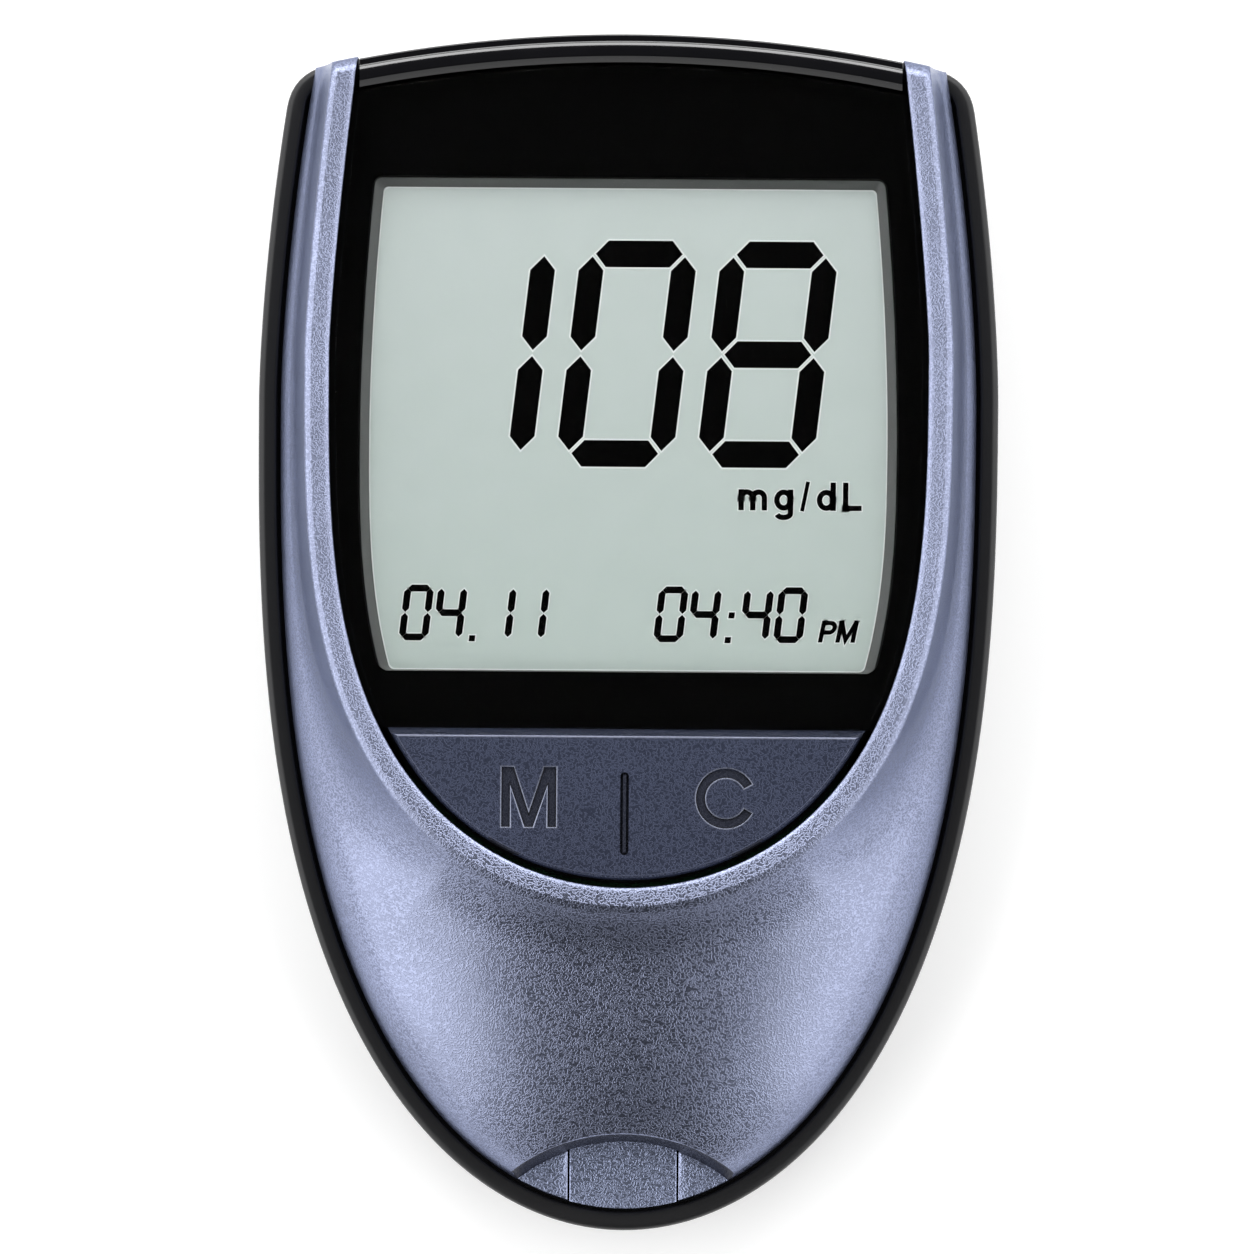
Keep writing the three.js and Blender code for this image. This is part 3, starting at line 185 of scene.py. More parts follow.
@dataclass(frozen=True)
class Plan:
    """The outlines that the housing's pieces share."""

    half_width: float
    top_y: float
    tip_y: float
    top_arc_radius: float = 115.0
    top_corner: float = 2.8
    rim_width: float = 1.8
    rail_width: float = 4.0
    collar_width: float = 2.0
    fit_gap: float = 0.3
    case_widest_drop: float = 29.9
    case_upper_reach: float = 81.3
    case_shape_shares: Flat = (2.7, 1.63)
    opening_widest_drop: float = 25.8
    opening_lower_reach: float = 43.3
    opening_upper_reach: float = 93.8
    opening_shape_shares: Flat = (3.24, 1.29)
    tip_steps: int = 90
    flank_steps: int = 34
    corner_steps: int = 9
    end_steps: int = 26
    halvings: int = 40
    cut_rounds: int = 20
    cut_corner_steps: int = 8
    cut_side_steps: int = 50
    cut_top_steps: int = 40
    moon_steps: int = 70
    chord_shares: tuple[float, ...] = (0.75, 0.5, 0.25, 0.0)

    @classmethod
    def from_frame(cls) -> "Plan":
        """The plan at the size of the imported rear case."""
        low, high = corners_mm("rear_case")
        return cls(half_width=high.x, top_y=high.y, tip_y=low.y)

    @property
    def case(self) -> Egg:
        """Outline of the whole housing.

        Returns:
            The outline.
        """
        widest_y = self.top_y - self.case_widest_drop
        lower_share, upper_share = self.case_shape_shares
        return Egg(self.half_width, widest_y, widest_y - self.tip_y, lower_share, self.case_upper_reach,
                   upper_share)

    @property
    def opening(self) -> Egg:
        """Outline of the cover's opening.

        Returns:
            The outline.
        """
        half_width = self.half_width - self.rim_width - self.rail_width
        lower_share, upper_share = self.opening_shape_shares
        return Egg(half_width, self.top_y - self.opening_widest_drop, self.opening_lower_reach, lower_share,
                   self.opening_upper_reach, upper_share)

    @property
    def opening_low_y(self) -> float:
        """Lowest level of the opening."""
        return self.opening.widest_y - self.opening.lower_reach

    def side(self, egg: Egg, grow: float) -> np.ndarray:
        """The right side of an egg, to beyond the top end."""
        return egg.side(grow, self.top_y + self.top_corner)

    def half_width_at(self, side: np.ndarray, y: float) -> float:
        """Half the width of a side at one level."""
        return float(np.interp(y, side[:, 1], side[:, 0]))

    def arc_y(self, x: float, inset: float = 0.0) -> float:
        """Level of the arched top end at x, with the arc drawn in by the inset."""
        radius = self.top_arc_radius - inset
        return self.top_y - self.top_arc_radius + math.sqrt(radius**2 - x**2)

    def corner(self, side: np.ndarray, inset: float) -> Flat:
        """Where a side meets the top arc.

        Args:
            side: Points of the side.
            inset: How far the arc is drawn in.

        Returns:
            The meeting point.
        """
        low, high = self.case.widest_y, self.top_y
        for _ in range(self.halvings):
            y = (low + high) / 2
            if self.arc_y(self.half_width_at(side, y), inset) > y:
                low = y
            else:
                high = y
        return self.half_width_at(side, low), low

    def case_outline(self, inset: float) -> list[Flat]:
        """The housing's outline, drawn in, always with as many points.

        Args:
            inset: How far the outline is drawn in.

        Returns:
            Points of the outline.
        """
        side = self.side(self.case, -inset)
        corner = self.corner(side, inset)
        round_off = max(self.top_corner - inset, self.top_corner / 4)
        start_y, end_x = corner[1] - round_off, corner[0] - round_off
        angle = np.linspace(0, math.pi / 2, self.tip_steps)
        waist = int(np.argmin(np.abs(side[:, 1] - self.case.widest_y)))
        picks = np.interp(angle, np.linspace(0, math.pi / 2, waist + 1), np.arange(waist + 1))
        right = [tuple(side[int(round(p))]) for p in picks]
        for y in np.linspace(self.case.widest_y, start_y, self.flank_steps)[1:-1]:
            right.append((self.half_width_at(side, y), float(y)))
        start = (self.half_width_at(side, start_y), start_y)
        end = (end_x, self.arc_y(end_x, inset))
        for t in np.linspace(0, 1, self.corner_steps):
            right.append(tuple((1 - t) ** 2 * a + 2 * t * (1 - t) * b + t**2 * c
                               for a, b, c in zip(start, corner, end)))
        for x in np.linspace(end_x, 0, self.end_steps)[1:]:
            right.append((float(x), self.arc_y(float(x), inset)))
        right[0] = (0.0, right[0][1])
        return mirrored(right)

    def cut_egg(self, egg: Egg, inset: float, low_y: float, top: Callable[[float], float],
                corner: float = 0.0) -> list[Flat]:
        """An egg drawn in and cut level at its bottom.

        Args:
            egg: The outline.
            inset: How far it is drawn in.
            low_y: The level of the cut.
            top: The upper end's level at each x.
            corner: The radius of its four corners.

        Returns:
            Points of the outline.
        """
        side = self.side(egg, -inset)
        corner_y = top(0)
        for _ in range(self.cut_rounds):
            corner_y = top(self.half_width_at(side, corner_y))
        right = [(0.0, low_y)]
        turns = np.linspace(0, math.pi / 2, self.cut_corner_steps)
        low_levels = [low_y + corner * (1 - math.cos(t)) for t in turns]
        high_levels = [corner_y - corner * (1 - math.cos(t)) for t in turns[::-1]]
        middle = list(np.linspace(low_y + corner, corner_y - corner, self.cut_side_steps)[1:-1])
        draws = [corner * (1 - math.sin(t)) for t in turns]
        draws = [*draws, *(0.0 for _ in middle), *draws[::-1]]
        for y, draw in zip([*low_levels, *middle, *high_levels], draws):
            right.append((self.half_width_at(side, y) - draw, float(y)))
        corner_x = right[-1][0]
        right += [(float(x), top(float(x))) for x in np.linspace(corner_x, 0, self.cut_top_steps)[1:]]
        return mirrored(right)

    def half_moon(self, inset: float, cut_y: float) -> list[Flat]:
        """The opening below one level, drawn in.

        Args:
            inset: How far the arc is drawn in.
            cut_y: The level of the straight edge.

        Returns:
            Points of the outline, from the bottom round to the straight edge.
        """
        side = self.side(self.opening, -inset)
        right = []
        for angle in np.linspace(-math.pi / 2, 0, self.moon_steps):
            direction = (math.cos(angle), math.sin(angle))
            reach = ray_reach(side, (0, cut_y), direction)
            right.append((reach * direction[0], cut_y + reach * direction[1]))
        right[0] = (0.0, right[0][1])
        right += [(right[-1][0] * share, cut_y) for share in self.chord_shares]
        return mirrored(right)


@dataclass(frozen=True)
class Levels:
    """Heights above the flat back, read from the frame's pieces."""

    skirt: float
    crease: float
    lens_low: float
    lens_top: float
    key_top: float
    guide_top: float
    display: float
    door_top: float = 1.3
    key_thickness: float = 2.0
    ledge_depth: float = 1.7
    fit_gap: float = 0.3
    collar_fall: float = 0.5

    @classmethod
    def from_frame(cls) -> "Levels":
        """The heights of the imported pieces."""
        return cls(
            skirt=corners_mm("front_cover")[0].z,
            crease=corners_mm("front_cover")[1].z,
            lens_low=corners_mm("display_lens")[0].z,
            lens_top=corners_mm("display_lens")[1].z,
            key_top=corners_mm("rocker_key")[1].z,
            guide_top=corners_mm("strip_guide")[1].z,
            display=corners_mm("lcd_polarizer")[1].z,
        )

    @property
    def key_low(self) -> float:
        """Underside of the key's face."""
        return self.key_top - self.key_thickness

    @property
    def ledge(self) -> float:
        """The ledge inside the case that the cover stands on."""
        return self.skirt - self.fit_gap

    @property
    def rim(self) -> float:
        """Top of the case's black rim."""
        return self.ledge + self.ledge_depth

    @property
    def shoulder(self) -> float:
        """Where the cover's face starts, just above the rim."""
        return self.rim + self.fit_gap

    @property
    def collar_inner(self) -> float:
        """The collar's height at the opening."""
        return self.crease - self.collar_fall


# Solids


@dataclass
class Shape:
    """Points and faces of one or more closed skins, in millimetres."""

    points: list[Point] = field(default_factory=list)
    faces: list[tuple[int, ...]] = field(default_factory=list)

    def with_shape(self, other: "Shape") -> "Shape":
        """A new shape with the skins of both.

        Args:
            other: The shape to take in.

        Returns:
            Both shapes in one.
        """
        shift = len(self.points)
        moved = [tuple(i + shift for i in face) for face in other.faces]
        return Shape(self.points + other.points, self.faces + moved)

    def build(self, name: str) -> Piece:
        """Makes an object of the shape, with its faces turned outwards.

        Args:
            name: The object's name.

        Returns:
            The new object.
        """
        mesh = bpy.data.meshes.new(name)
        mesh.from_pydata(self.points, [], self.faces)
        work = bmesh.new()
        work.from_mesh(mesh)
        bmesh.ops.remove_doubles(work, verts=work.verts, dist=MERGE_MM)
        bmesh.ops.recalc_face_normals(work, faces=work.faces)
        work.to_mesh(mesh)
        work.free()
        made = bpy.data.objects.new(name, mesh)
        bpy.context.scene.collection.objects.link(made)
        return made


def loft(rings: Sequence[Sequence[Point]], closed: bool = False) -> Shape:
    """A skin through rings with as many points each.

    Args:
        rings: The rings, in order.
        closed: True where the last ring joins the first instead of both being capped.

    Returns:
        The skin.
    """
    count = len(rings[0])
    points = [tuple(map(float, p)) for ring in rings for p in ring]
    faces: list[tuple[int, ...]] = []
    spans = len(rings) if closed else len(rings) - 1
    for r in range(spans):
        low, high = r * count, (r + 1) % len(rings) * count
        for i in range(count):
            j = (i + 1) % count
            faces.append((low + i, low + j, high + j, high + i))
    if not closed:
        faces.append(tuple(range(count))[::-1])
        faces.append(tuple(range(len(points) - count, len(points))))
    return Shape(points, faces)


def lifted(outline: Path, z: float) -> list[Point]:
    """An outline as a ring at the height z."""
    return [(x, y, z) for x, y in outline]


def prism(outline: Path, low: float, high: float) -> Shape:
    """A straight plate with the outline between two heights."""
    return loft([lifted(outline, low), lifted(outline, high)])


def block(x: Flat, y: Flat, z: Flat) -> Shape:
    """A straight-sided block between the given limits."""
    return prism([(x[0], y[0]), (x[1], y[0]), (x[1], y[1]), (x[0], y[1])], *z)


def round_bar(centre: Flat, levels: Flat, radii: Flat, sides: int = 48) -> Shape:
    """An upright round bar or cone, from its lowest and highest level and its radius at both."""
    return loft([lifted(circle(centre, radius, sides), z) for radius, z in zip(radii, levels)])


def circle(centre: Flat, radius: float, sides: int = 48) -> list[Flat]:
    """Points of a circle in plan."""
    turn = 2 * math.pi / sides
    return [(centre[0] + radius * math.cos(turn * i), centre[1] + radius * math.sin(turn * i))
            for i in range(sides)]


def round_rectangle(x: Flat, y: Flat, radius: float, steps: int = 10) -> list[Flat]:
    """A rectangle with rounded corners.

    Args:
        x: Its limits along X.
        y: Its limits along Y.
        radius: The corners' radius.
        steps: How many edges make one corner.

    Returns:
        Points of the outline.
    """
    points: list[Flat] = []
    middles = [(x[1] - radius, y[0] + radius), (x[1] - radius, y[1] - radius),
               (x[0] + radius, y[1] - radius), (x[0] + radius, y[0] + radius)]
    for quarter, (cx, cy) in enumerate(middles):
        for i in range(steps + 1):
            angle = math.pi / 2 * (quarter - 1 + i / steps)
            points.append((cx + radius * math.cos(angle), cy + radius * math.sin(angle)))
    return points


def lathe(profile: Path, sides: int = 48) -> Shape:
    """A skin turned about Z, from the radius and height of each ring."""
    return loft([lifted(circle((0, 0), radius, sides), z) for radius, z in profile])


def moved(shape: Shape, matrix: Matrix) -> Shape:
    """A shape put through a matrix."""
    return Shape([tuple(matrix @ Vector(p)) for p in shape.points], shape.faces)


def rounded(points: Path, corner: int, cut: float, steps: int = 4) -> list[Flat]:
    """A polyline with one corner rounded off.

    Args:
        points: The polyline.
        corner: Which point is the corner.
        cut: How far before and after it the rounding starts.
        steps: How many edges make the rounding.

    Returns:
        The new polyline.
    """
    before, middle, after = (Vector(points[corner + k]) for k in (-1, 0, 1))
    limit_share = 0.49
    start = middle + (before - middle).normalized() * min(cut, (before - middle).length * limit_share)
    end = middle + (after - middle).normalized() * min(cut, (after - middle).length * limit_share)
    arc = []
    for i in range(steps + 1):
        t = i / steps
        arc.append(tuple((1 - t) ** 2 * start + 2 * t * (1 - t) * middle + t**2 * end))
    return [*points[:corner], *arc, *points[corner + 1:]]


def carve(body: Piece, tool: Shape, operation: Operation) -> None:
    """Joins, cuts or crops a body with a tool.

    Args:
        body: The object that changes.
        tool: The tool's skins, which may overlap each other.
        operation: What the tool does.
    """
    other = tool.build("tool")
    modifier = body.modifiers.new("carve", "BOOLEAN")
    modifier.operation = operation.value
    modifier.solver = "EXACT"
    modifier.use_self = True
    modifier.object = other
    graph = bpy.context.evaluated_depsgraph_get()
    mesh = bpy.data.meshes.new_from_object(body.evaluated_get(graph))
    body.modifiers.clear()
    old = body.data
    body.data = mesh
    bpy.data.meshes.remove(old)
    tool_mesh = other.data
    bpy.data.objects.remove(other)
    bpy.data.meshes.remove(tool_mesh)


def gathered(shapes: Iterable[Shape]) -> Shape:
    """Many shapes in one.

    Args:
        shapes: The shapes, in order.

    Returns:
        A shape with all their skins.
    """
    whole = Shape()
    for shape in shapes:
        whole = whole.with_shape(shape)
    return whole


def finished(piece: Piece, body: str, materials: Sequence[Material], nodes: Sequence[str] = (),
             smooth_below: float = 32.0) -> Piece:
    """Scales a piece to metres, shades and dresses it, and seats it on its body.

    Args:
        piece: The piece, still in millimetres.
        body: The frame's body that it rides on.
        materials: Its materials, in the order of its faces' indices.
        nodes: The frame's nodes that it stands for.
        smooth_below: Edges flatter than this angle, in degrees, are shaded smooth.

    Returns:
        The same piece.
    """
    piece.data.transform(Matrix.Scale(MM, 4))
    piece.data.shade_smooth()
    piece.data.set_sharp_from_angle(angle=math.radians(smooth_below))
    for material in materials:
        piece.data.materials.append(material)
    evened = piece.modifiers.new("even_normals", "WEIGHTED_NORMAL")
    evened.keep_sharp = True
    evened.weight = NORMAL_WEIGHT
    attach(piece, body)
    if nodes:
        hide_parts(*nodes)
    log.info("%s: %d faces, on %s", piece.name, len(piece.data.polygons), body)
    return piece


# Finishes


class NodeTree:
    """A node tree that is written from its last node backwards."""

    def __init__(self, tree: bpy.types.NodeTree) -> None:
        """Takes a tree to write in."""
        self.tree = tree

    def node(self, kind: str, **values: object) -> bpy.types.Node:
        """Adds a node and sets its properties and inputs.

        Args:
            kind: The node's type name without its common start.
            values: Properties by name, or inputs by name with spaces as underscores.

        Returns:
            The new node.
        """
        made = self.tree.nodes.new("ShaderNode" + kind)
        for key, value in values.items():
            if hasattr(made, key):
                setattr(made, key, value)
            else:
                made.inputs[key.replace("_", " ")].default_value = value
        return made

    def link(self, out: Socket, into: Socket) -> None:
        """Joins two sockets."""
        self.tree.links.new(out, into)

    def result(self, operation: str, *terms: Socket | float) -> Socket:
        """The result of a sum.

        Args:
            operation: The sum's name.
            terms: Its terms, each a socket or a number.

        Returns:
            The result.
        """
        made = self.node("Math", operation=operation)
        for term, socket in zip(terms, made.inputs):
            if isinstance(term, float):
                socket.default_value = term
            else:
                self.link(term, socket)
        return made.outputs["Value"]

    def stretch(self, value: Socket, before: Flat, after: Flat = (0.0, 1.0)) -> Socket:
        """A value moved from one range to another and kept inside it.

        Args:
            value: The value.
            before: The range's limits before.
            after: The range's limits after.

        Returns:
            The moved value.
        """
        made = self.node("MapRange", From_Min=before[0], From_Max=before[1], To_Min=after[0], To_Max=after[1])
        self.link(value, made.inputs["Value"])
        return made.outputs["Result"]

    def along(self, vector: Socket, axis: str) -> Socket:
        """One part of a vector.

        Args:
            vector: The vector.
            axis: X, Y or Z.

        Returns:
            That part.
        """
        split = self.node("SeparateXYZ")
        self.link(vector, split.inputs["Vector"])
        return split.outputs[axis]


class Shading(NodeTree):
    """The node tree of one material, around its surface shader."""

    def __init__(self, name: str, **inputs: float | Colour) -> None:
        """Starts a material with one surface shader.

        Args:
            name: The material's name.
            inputs: The shader's constant inputs, with spaces as underscores.
        """
        self.material = bpy.data.materials.new(name)
        self.material.use_nodes = True
        super().__init__(self.material.node_tree)
        self.shader = self.tree.nodes["Principled BSDF"]
        for key, value in inputs.items():
            value = (*value, 1) if isinstance(value, tuple) else value
            self.shader.inputs[key.replace("_", " ")].default_value = value

    def feed(self, name: str, value: Socket) -> None:
        """Leads a value into one of the shader's inputs."""
        self.link(value, self.shader.inputs[name])

    def place(self) -> Socket:
        """The surface's own place, in metres."""
        return self.node("TexCoord").outputs["Object"]

    def texture(self, kind: str, size: float, **values: object) -> Socket:
        """A texture on the surface.

        Args:
            kind: The texture's type name.
            size: Its features' size in millimetres.
            values: Its other settings.

        Returns:
            Its value.
        """
        made = self.node(f"Tex{kind}", Scale=1 / (size * MM), **values)
        self.link(self.place(), made.inputs["Vector"])
        return made.outputs["Fac"]

    def noise(self, size: float, detail: float) -> Socket:
        """Noise with features of one size and some finer layers."""
        return self.texture("Noise", size, noise_type="FBM", Detail=detail)

    def spread(self, noise: Socket, low: float, high: float) -> Socket:
        """Noise, which mostly lies in a narrow band, stretched between two limits."""
        band = (0.3, 0.7)
        return self.stretch(noise, band, (low, high))

    def blend(self, share: Socket, first: Colour | Socket, second: Colour | Socket) -> Socket:
        """A colour between two, by a share.

        Args:
            share: 0 gives the first colour and 1 the second.
            first: The first colour.
            second: The second colour.

        Returns:
            The mixed colour.
        """
        made = self.node("Mix", data_type="RGBA")
        colour_inputs = (6, 7)
        for index, colour in zip(colour_inputs, (first, second)):
            if isinstance(colour, tuple):
                made.inputs[index].default_value = (*colour, 1)
            else:
                self.link(colour, made.inputs[index])
        self.link(share, made.inputs["Factor"])
        return made.outputs[2]

    def relief(self, height: Socket, strength: float, depth: float) -> None:
        """Presses a height into the surface.

        Args:
            height: The height, from 0 to 1.
            strength: How strongly it shows.
            depth: The depth of a full step in millimetres.
        """
        bump = self.node("Bump", Strength=strength, Distance=depth * MM)
        self.link(height, bump.inputs["Height"])
        self.feed("Normal", bump.outputs["Normal"])


@dataclass(frozen=True)
class Finish:
    """A moulded, painted or metal surface with a fine grain."""

    name: str
    colour: Colour
    roughness: float
    metallic: float = 0.0
    grain: Grain = Grain.SPARK
    grain_size: float = 0.25
    grain_depth: float = 0.01
    shift_share: float = 0.12
    coat: float = 0.0
    specular: float = 0.5
    # Painted shade: a tint that darkens the colour on steep faces.
    steep_shade_tint: Colour = (1, 1, 1)
    edge_tint: Colour = (1, 1, 1)
    steep_and_level: Flat = (0.4, 0.88)
    cloud_size: float = 9.0
    cloud_share: float = 0.35
    roughness_shift_share: float = 0.12
    coat_roughness: float = 0.12
    relief_strength: float = 0.6
    crease_band: Flat = (0.0, 0.1)
    crease_heights: Flat = (0.8, 0.2)

    def shaded_by_slope(self, shading: Shading, colour: Socket) -> Socket:
        """The colour, darker on steep flanks: painted shade that follows the slope.

        Args:
            shading: The material's tree.
            colour: The colour on level faces.

        Returns:
            The colour by slope.
        """
        upright = shading.along(shading.node("TexCoord").outputs["Normal"], "Z")
        tint = shading.blend(shading.stretch(upright, self.steep_and_level), self.steep_shade_tint, (1, 1, 1))
        tinted = shading.node("VectorMath", operation="MULTIPLY")
        shading.link(colour, tinted.inputs[0])
        shading.link(tint, tinted.inputs[1])
        return tinted.outputs["Vector"]

    def grain_height(self, shading: Shading) -> Socket:
        """The grain as a height around 0.5.

        Args:
            shading: The material's tree.

        Returns:
            The height.
        """
        if self.grain is Grain.WRINKLE:
            from_middle = shading.result("SUBTRACT", shading.noise(self.grain_size, 1.0), 0.5)
            crease = shading.result("ABSOLUTE", from_middle)
            return shading.stretch(crease, self.crease_band, self.crease_heights)
        if self.grain is Grain.BRUSHED:
            return shading.texture("Wave", self.grain_size, wave_type="RINGS", rings_direction="Z",
                                   Distortion=2.0, Detail=2.0)
        if self.grain is Grain.WEAVE:
            return shading.texture("Brick", self.grain_size)
        return shading.noise(self.grain_size, 3.0 if self.grain is Grain.SPARK else 0.5)

    def build(self) -> Material:
        """The material, with grain in its colour, gloss and relief.

        Returns:
            The new material.
        """
        shading = Shading(self.name, Metallic=self.metallic, Specular_IOR_Level=self.specular,
                          Specular_Tint=self.edge_tint, Coat_Weight=self.coat,
                          Coat_Roughness=self.coat_roughness)
        height = self.grain_height(shading)
        dark = tuple(c * (1 - self.shift_share) for c in self.colour)
        light = tuple(min(1.0, c * (1 + self.shift_share)) for c in self.colour)
        fine = shading.result("MULTIPLY", height, 1 - self.cloud_share)
        mixed = shading.result("MULTIPLY_ADD", shading.noise(self.cloud_size, 2.0), self.cloud_share, fine)
        colour = shading.blend(mixed, dark, light)
        # Painted shade: steep faces take a darker colour by their slope.
        if min(self.steep_shade_tint) < 1:
            colour = self.shaded_by_slope(shading, colour)
        shading.feed("Base Color", colour)
        shift = self.roughness * self.roughness_shift_share
        gloss = shading.spread(height, self.roughness - shift, min(1.0, self.roughness + shift))
        shading.feed("Roughness", gloss)
        shading.relief(height, self.relief_strength, self.grain_depth)
        return shading.material


@dataclass(frozen=True)
class DisplayFinish:
    """The reflective face of the display, a little darker towards its lower end."""

    name: str
    upper: Colour
    lower: Colour
    low_and_high_y: Flat
    roughness: float = 0.55
    cloud_size: float = 3.0
    cloud_share: float = 0.09
    grain_size: float = 0.08
    grain_depth: float = 0.004
    relief_strength: float = 0.2

    def build(self) -> Material:
        """The material, with a slow change along Y and a fine cloud.

        Returns:
            The new material.
        """
        shading = Shading(self.name, Roughness=self.roughness)
        low, high = self.low_and_high_y
        run = shading.stretch(shading.along(shading.place(), "Y"), (low * MM, high * MM))
        cloud = shading.spread(shading.noise(self.cloud_size, 3.0), -self.cloud_share, self.cloud_share)
        share = shading.stretch(shading.result("ADD", run, cloud), (0.0, 1.0))
        shading.feed("Base Color", shading.blend(share, self.lower, self.upper))
        shading.relief(shading.noise(self.grain_size, 1.0), self.relief_strength, self.grain_depth)
        return shading.material


@dataclass(frozen=True)
class LensFinish:
    """Clear acrylic with an anti-glare coat, which mirrors less than bare acrylic, and a faint haze."""

    name: str
    roughness: float = 0.02
    refraction: float = 1.15
    specular: float = 0.3
    haze_size: float = 6.0
    haze_shares: Flat = (0.5, 1.5)

    def build(self) -> Material:
        """The see-through material.

        Returns:
            The new material.
        """
        shading = Shading(self.name, Base_Color=(1, 1, 1), Transmission_Weight=1.0, IOR=self.refraction,
                          Specular_IOR_Level=self.specular)
        low, high = (self.roughness * share for share in self.haze_shares)
        shading.feed("Roughness", shading.spread(shading.noise(self.haze_size, 2.0), low, high))
        return shading.material


@dataclass(frozen=True)
class BandedFinish:
    """A printed cell sleeve, whose colour changes at one level along Y."""

    name: str
    below: Colour
    above: Colour
    level_y: float
    roughness: float = 0.3
    metallic: float = 0.4
    scratch_size: float = 0.6
    scratch_depth: float = 0.01
    relief_strength: float = 0.15
    gloss_shares: Flat = (0.8, 1.3)

    def build(self) -> Material:
        """The material, with two colour bands and fine scratches.

        Returns:
            The new material.
        """
        shading = Shading(self.name, Metallic=self.metallic)
        is_above = shading.result("GREATER_THAN", shading.along(shading.place(), "Y"), self.level_y * MM)
        shading.feed("Base Color", shading.blend(is_above, self.below, self.above))
        wear = shading.noise(self.scratch_size, 4.0)
        low, high = (self.roughness * share for share in self.gloss_shares)
        shading.feed("Roughness", shading.spread(wear, low, high))
        shading.relief(wear, self.relief_strength, self.scratch_depth)
        return shading.material


# Front cover


@dataclass(frozen=True)
class CrossLine:
    """A line across the cover, from the opening's edge to the outer edge."""

    origin: Flat
    direction: Flat
    inner: float
    crease: float
    outer: float

    def point(self, reach: float) -> Flat:
        """The place at one distance from the origin."""
        return (self.origin[0] + reach * self.direction[0], self.origin[1] + reach * self.direction[1])


@dataclass(frozen=True)
class FrontCover:
    """The painted horseshoe shell with its collar, rails and strip port."""

    plan: Plan
    levels: Levels
    crown_drop: float = 1.2
    dome_shape_share: float = 2.6
    foot_slope: float = 0.85
    foot_limit_share: float = 0.6
    foot_power_share: float = 2.2
    rail_end_radius: float = 1.5
    inner_facet: float = 0.22
    inner_facet_slope: float = 0.34
    crease_facet: float = 0.52
    crease_facet_slope: float = 0.58
    collar_lift: float = 0.09
    filled_inset: float = 0.5
    wall: float = 1.7
    side_wall: float = 1.5
    end_wall: float = 1.2
    port_radius: float = 14.55
    port_lean: float = 0.78
    port_apex: float = 7.9
    port_wall: float = 1.2
    arch_round: float = 0.2
    arch_steps: int = 6
    slot_flare: float = 0.13
    guide_half_width: float = 4.2
    slot_height: float = 0.9
    guide_sink: float = 0.15
    guide_back_y: float = -36.8
    belly_lines: int = 96
    rail_lines: int = 52
    end_lines: int = 9
    end_first_angle: float = 0.25
    end_reach_share: float = 1.05
    band_shares: tuple[float, ...] = (0.2, 0.8)
    foot_shares: tuple[float, ...] = (0.05, 0.12, 0.2, 0.3, 0.42, 0.56, 0.74)
    inside_shares: tuple[float, ...] = (0.0, 0.1, 0.22, 0.36, 0.52, 0.68, 0.84)
    dome_steps: int = 15
    crease_round: float = 0.25
    opening_round: float = 0.1
    port_half_angle: float = 1.1
    port_lines: int = 111
    port_core: float = 1.0
    port_over: float = 1.0
    arch_reach: float = 0.5
    curtain_drop: float = 1.6
    curtain_sides: int = 120
    floor_overlap: float = 0.01
    slot_overlap: float = 0.05
    mouth_overlap: float = 0.1
    port_reach_y: float = 9.0
    wall_facing: float = 0.35
    level_facing: float = 0.9
    mark_slack: float = 0.02
    smooth_below: float = 28.0

    @property
    def port_floor(self) -> float:
        """Height of the port's floor."""
        return self.levels.guide_top + self.guide_sink

    def cross_line(self, origin: Flat, target: Flat) -> CrossLine:
        """The cross line from one point through another.

        Args:
            origin: Where it starts, on the middle line.
            target: A point that it passes through.

        Returns:
            The line with its three crossings.
        """
        dx, dy = target[0] - origin[0], target[1] - origin[1]
        length = math.hypot(dx, dy)
        direction = (dx / length, dy / length)
        plan = self.plan
        sides = (plan.side(plan.opening, 0), plan.side(plan.opening, plan.collar_width),
                 plan.side(plan.case, -plan.rim_width))
        reach = [ray_reach(side, origin, direction) for side in sides]
        return CrossLine(origin, direction, *reach)

    def right_lines(self) -> list[CrossLine]:
        """The cross lines from the tip round to the right rail's end.

        Returns:
            The lines, in order.
        """
        plan = self.plan
        lines = []
        for angle in np.linspace(0, math.pi / 2, self.belly_lines):
            lines.append(self.cross_line((0, 0), (math.sin(angle), -math.cos(angle))))
        inner = plan.corner(plan.side(plan.opening, 0), 0)
        outer = plan.corner(plan.side(plan.case, -plan.rim_width), 0)
        slope = (outer[1] - inner[1]) / (outer[0] - inner[0])
        end_y = inner[1] - slope * inner[0]
        shares = list(np.linspace(0, 1, self.rail_lines)[1:-3])
        for share in shares:
            y = end_y * share
            lines.append(self.cross_line((0, y), (outer[0], y + slope * share * outer[0])))
        last = end_y * (1 - shares[-1])
        for angle in np.linspace(self.end_first_angle, math.pi / 2, self.end_lines):
            y = end_y - min(last, self.rail_end_radius * self.end_reach_share) * (1 - math.sin(angle))
            lines.append(self.cross_line((0, y), (outer[0], y + slope * outer[0])))
        return lines

    def dome(self, line: CrossLine, reach: float) -> float:
        """Height of the crowned face without its collar.

        Args:
            line: The cross line.
            reach: Distance from the line's origin.

        Returns:
            The height above the back.
        """
        crown = self.levels.crease - self.crown_drop
        share = min(reach / line.outer, 1.0)
        rise = math.sqrt(max(0.0, 1 - share**self.dome_shape_share))
        return self.levels.shoulder + (crown - self.levels.shoulder) * rise

    def foot(self, line: CrossLine) -> float:
        """Width of the collar's concave foot.

        Args:
            line: The cross line.

        Returns:
            The width.
        """
        step = self.levels.crease + self.collar_lift - self.dome(line, line.crease)
        gentle = step * self.foot_power_share / self.foot_slope
        return min(gentle, self.foot_limit_share * (line.outer - line.crease))

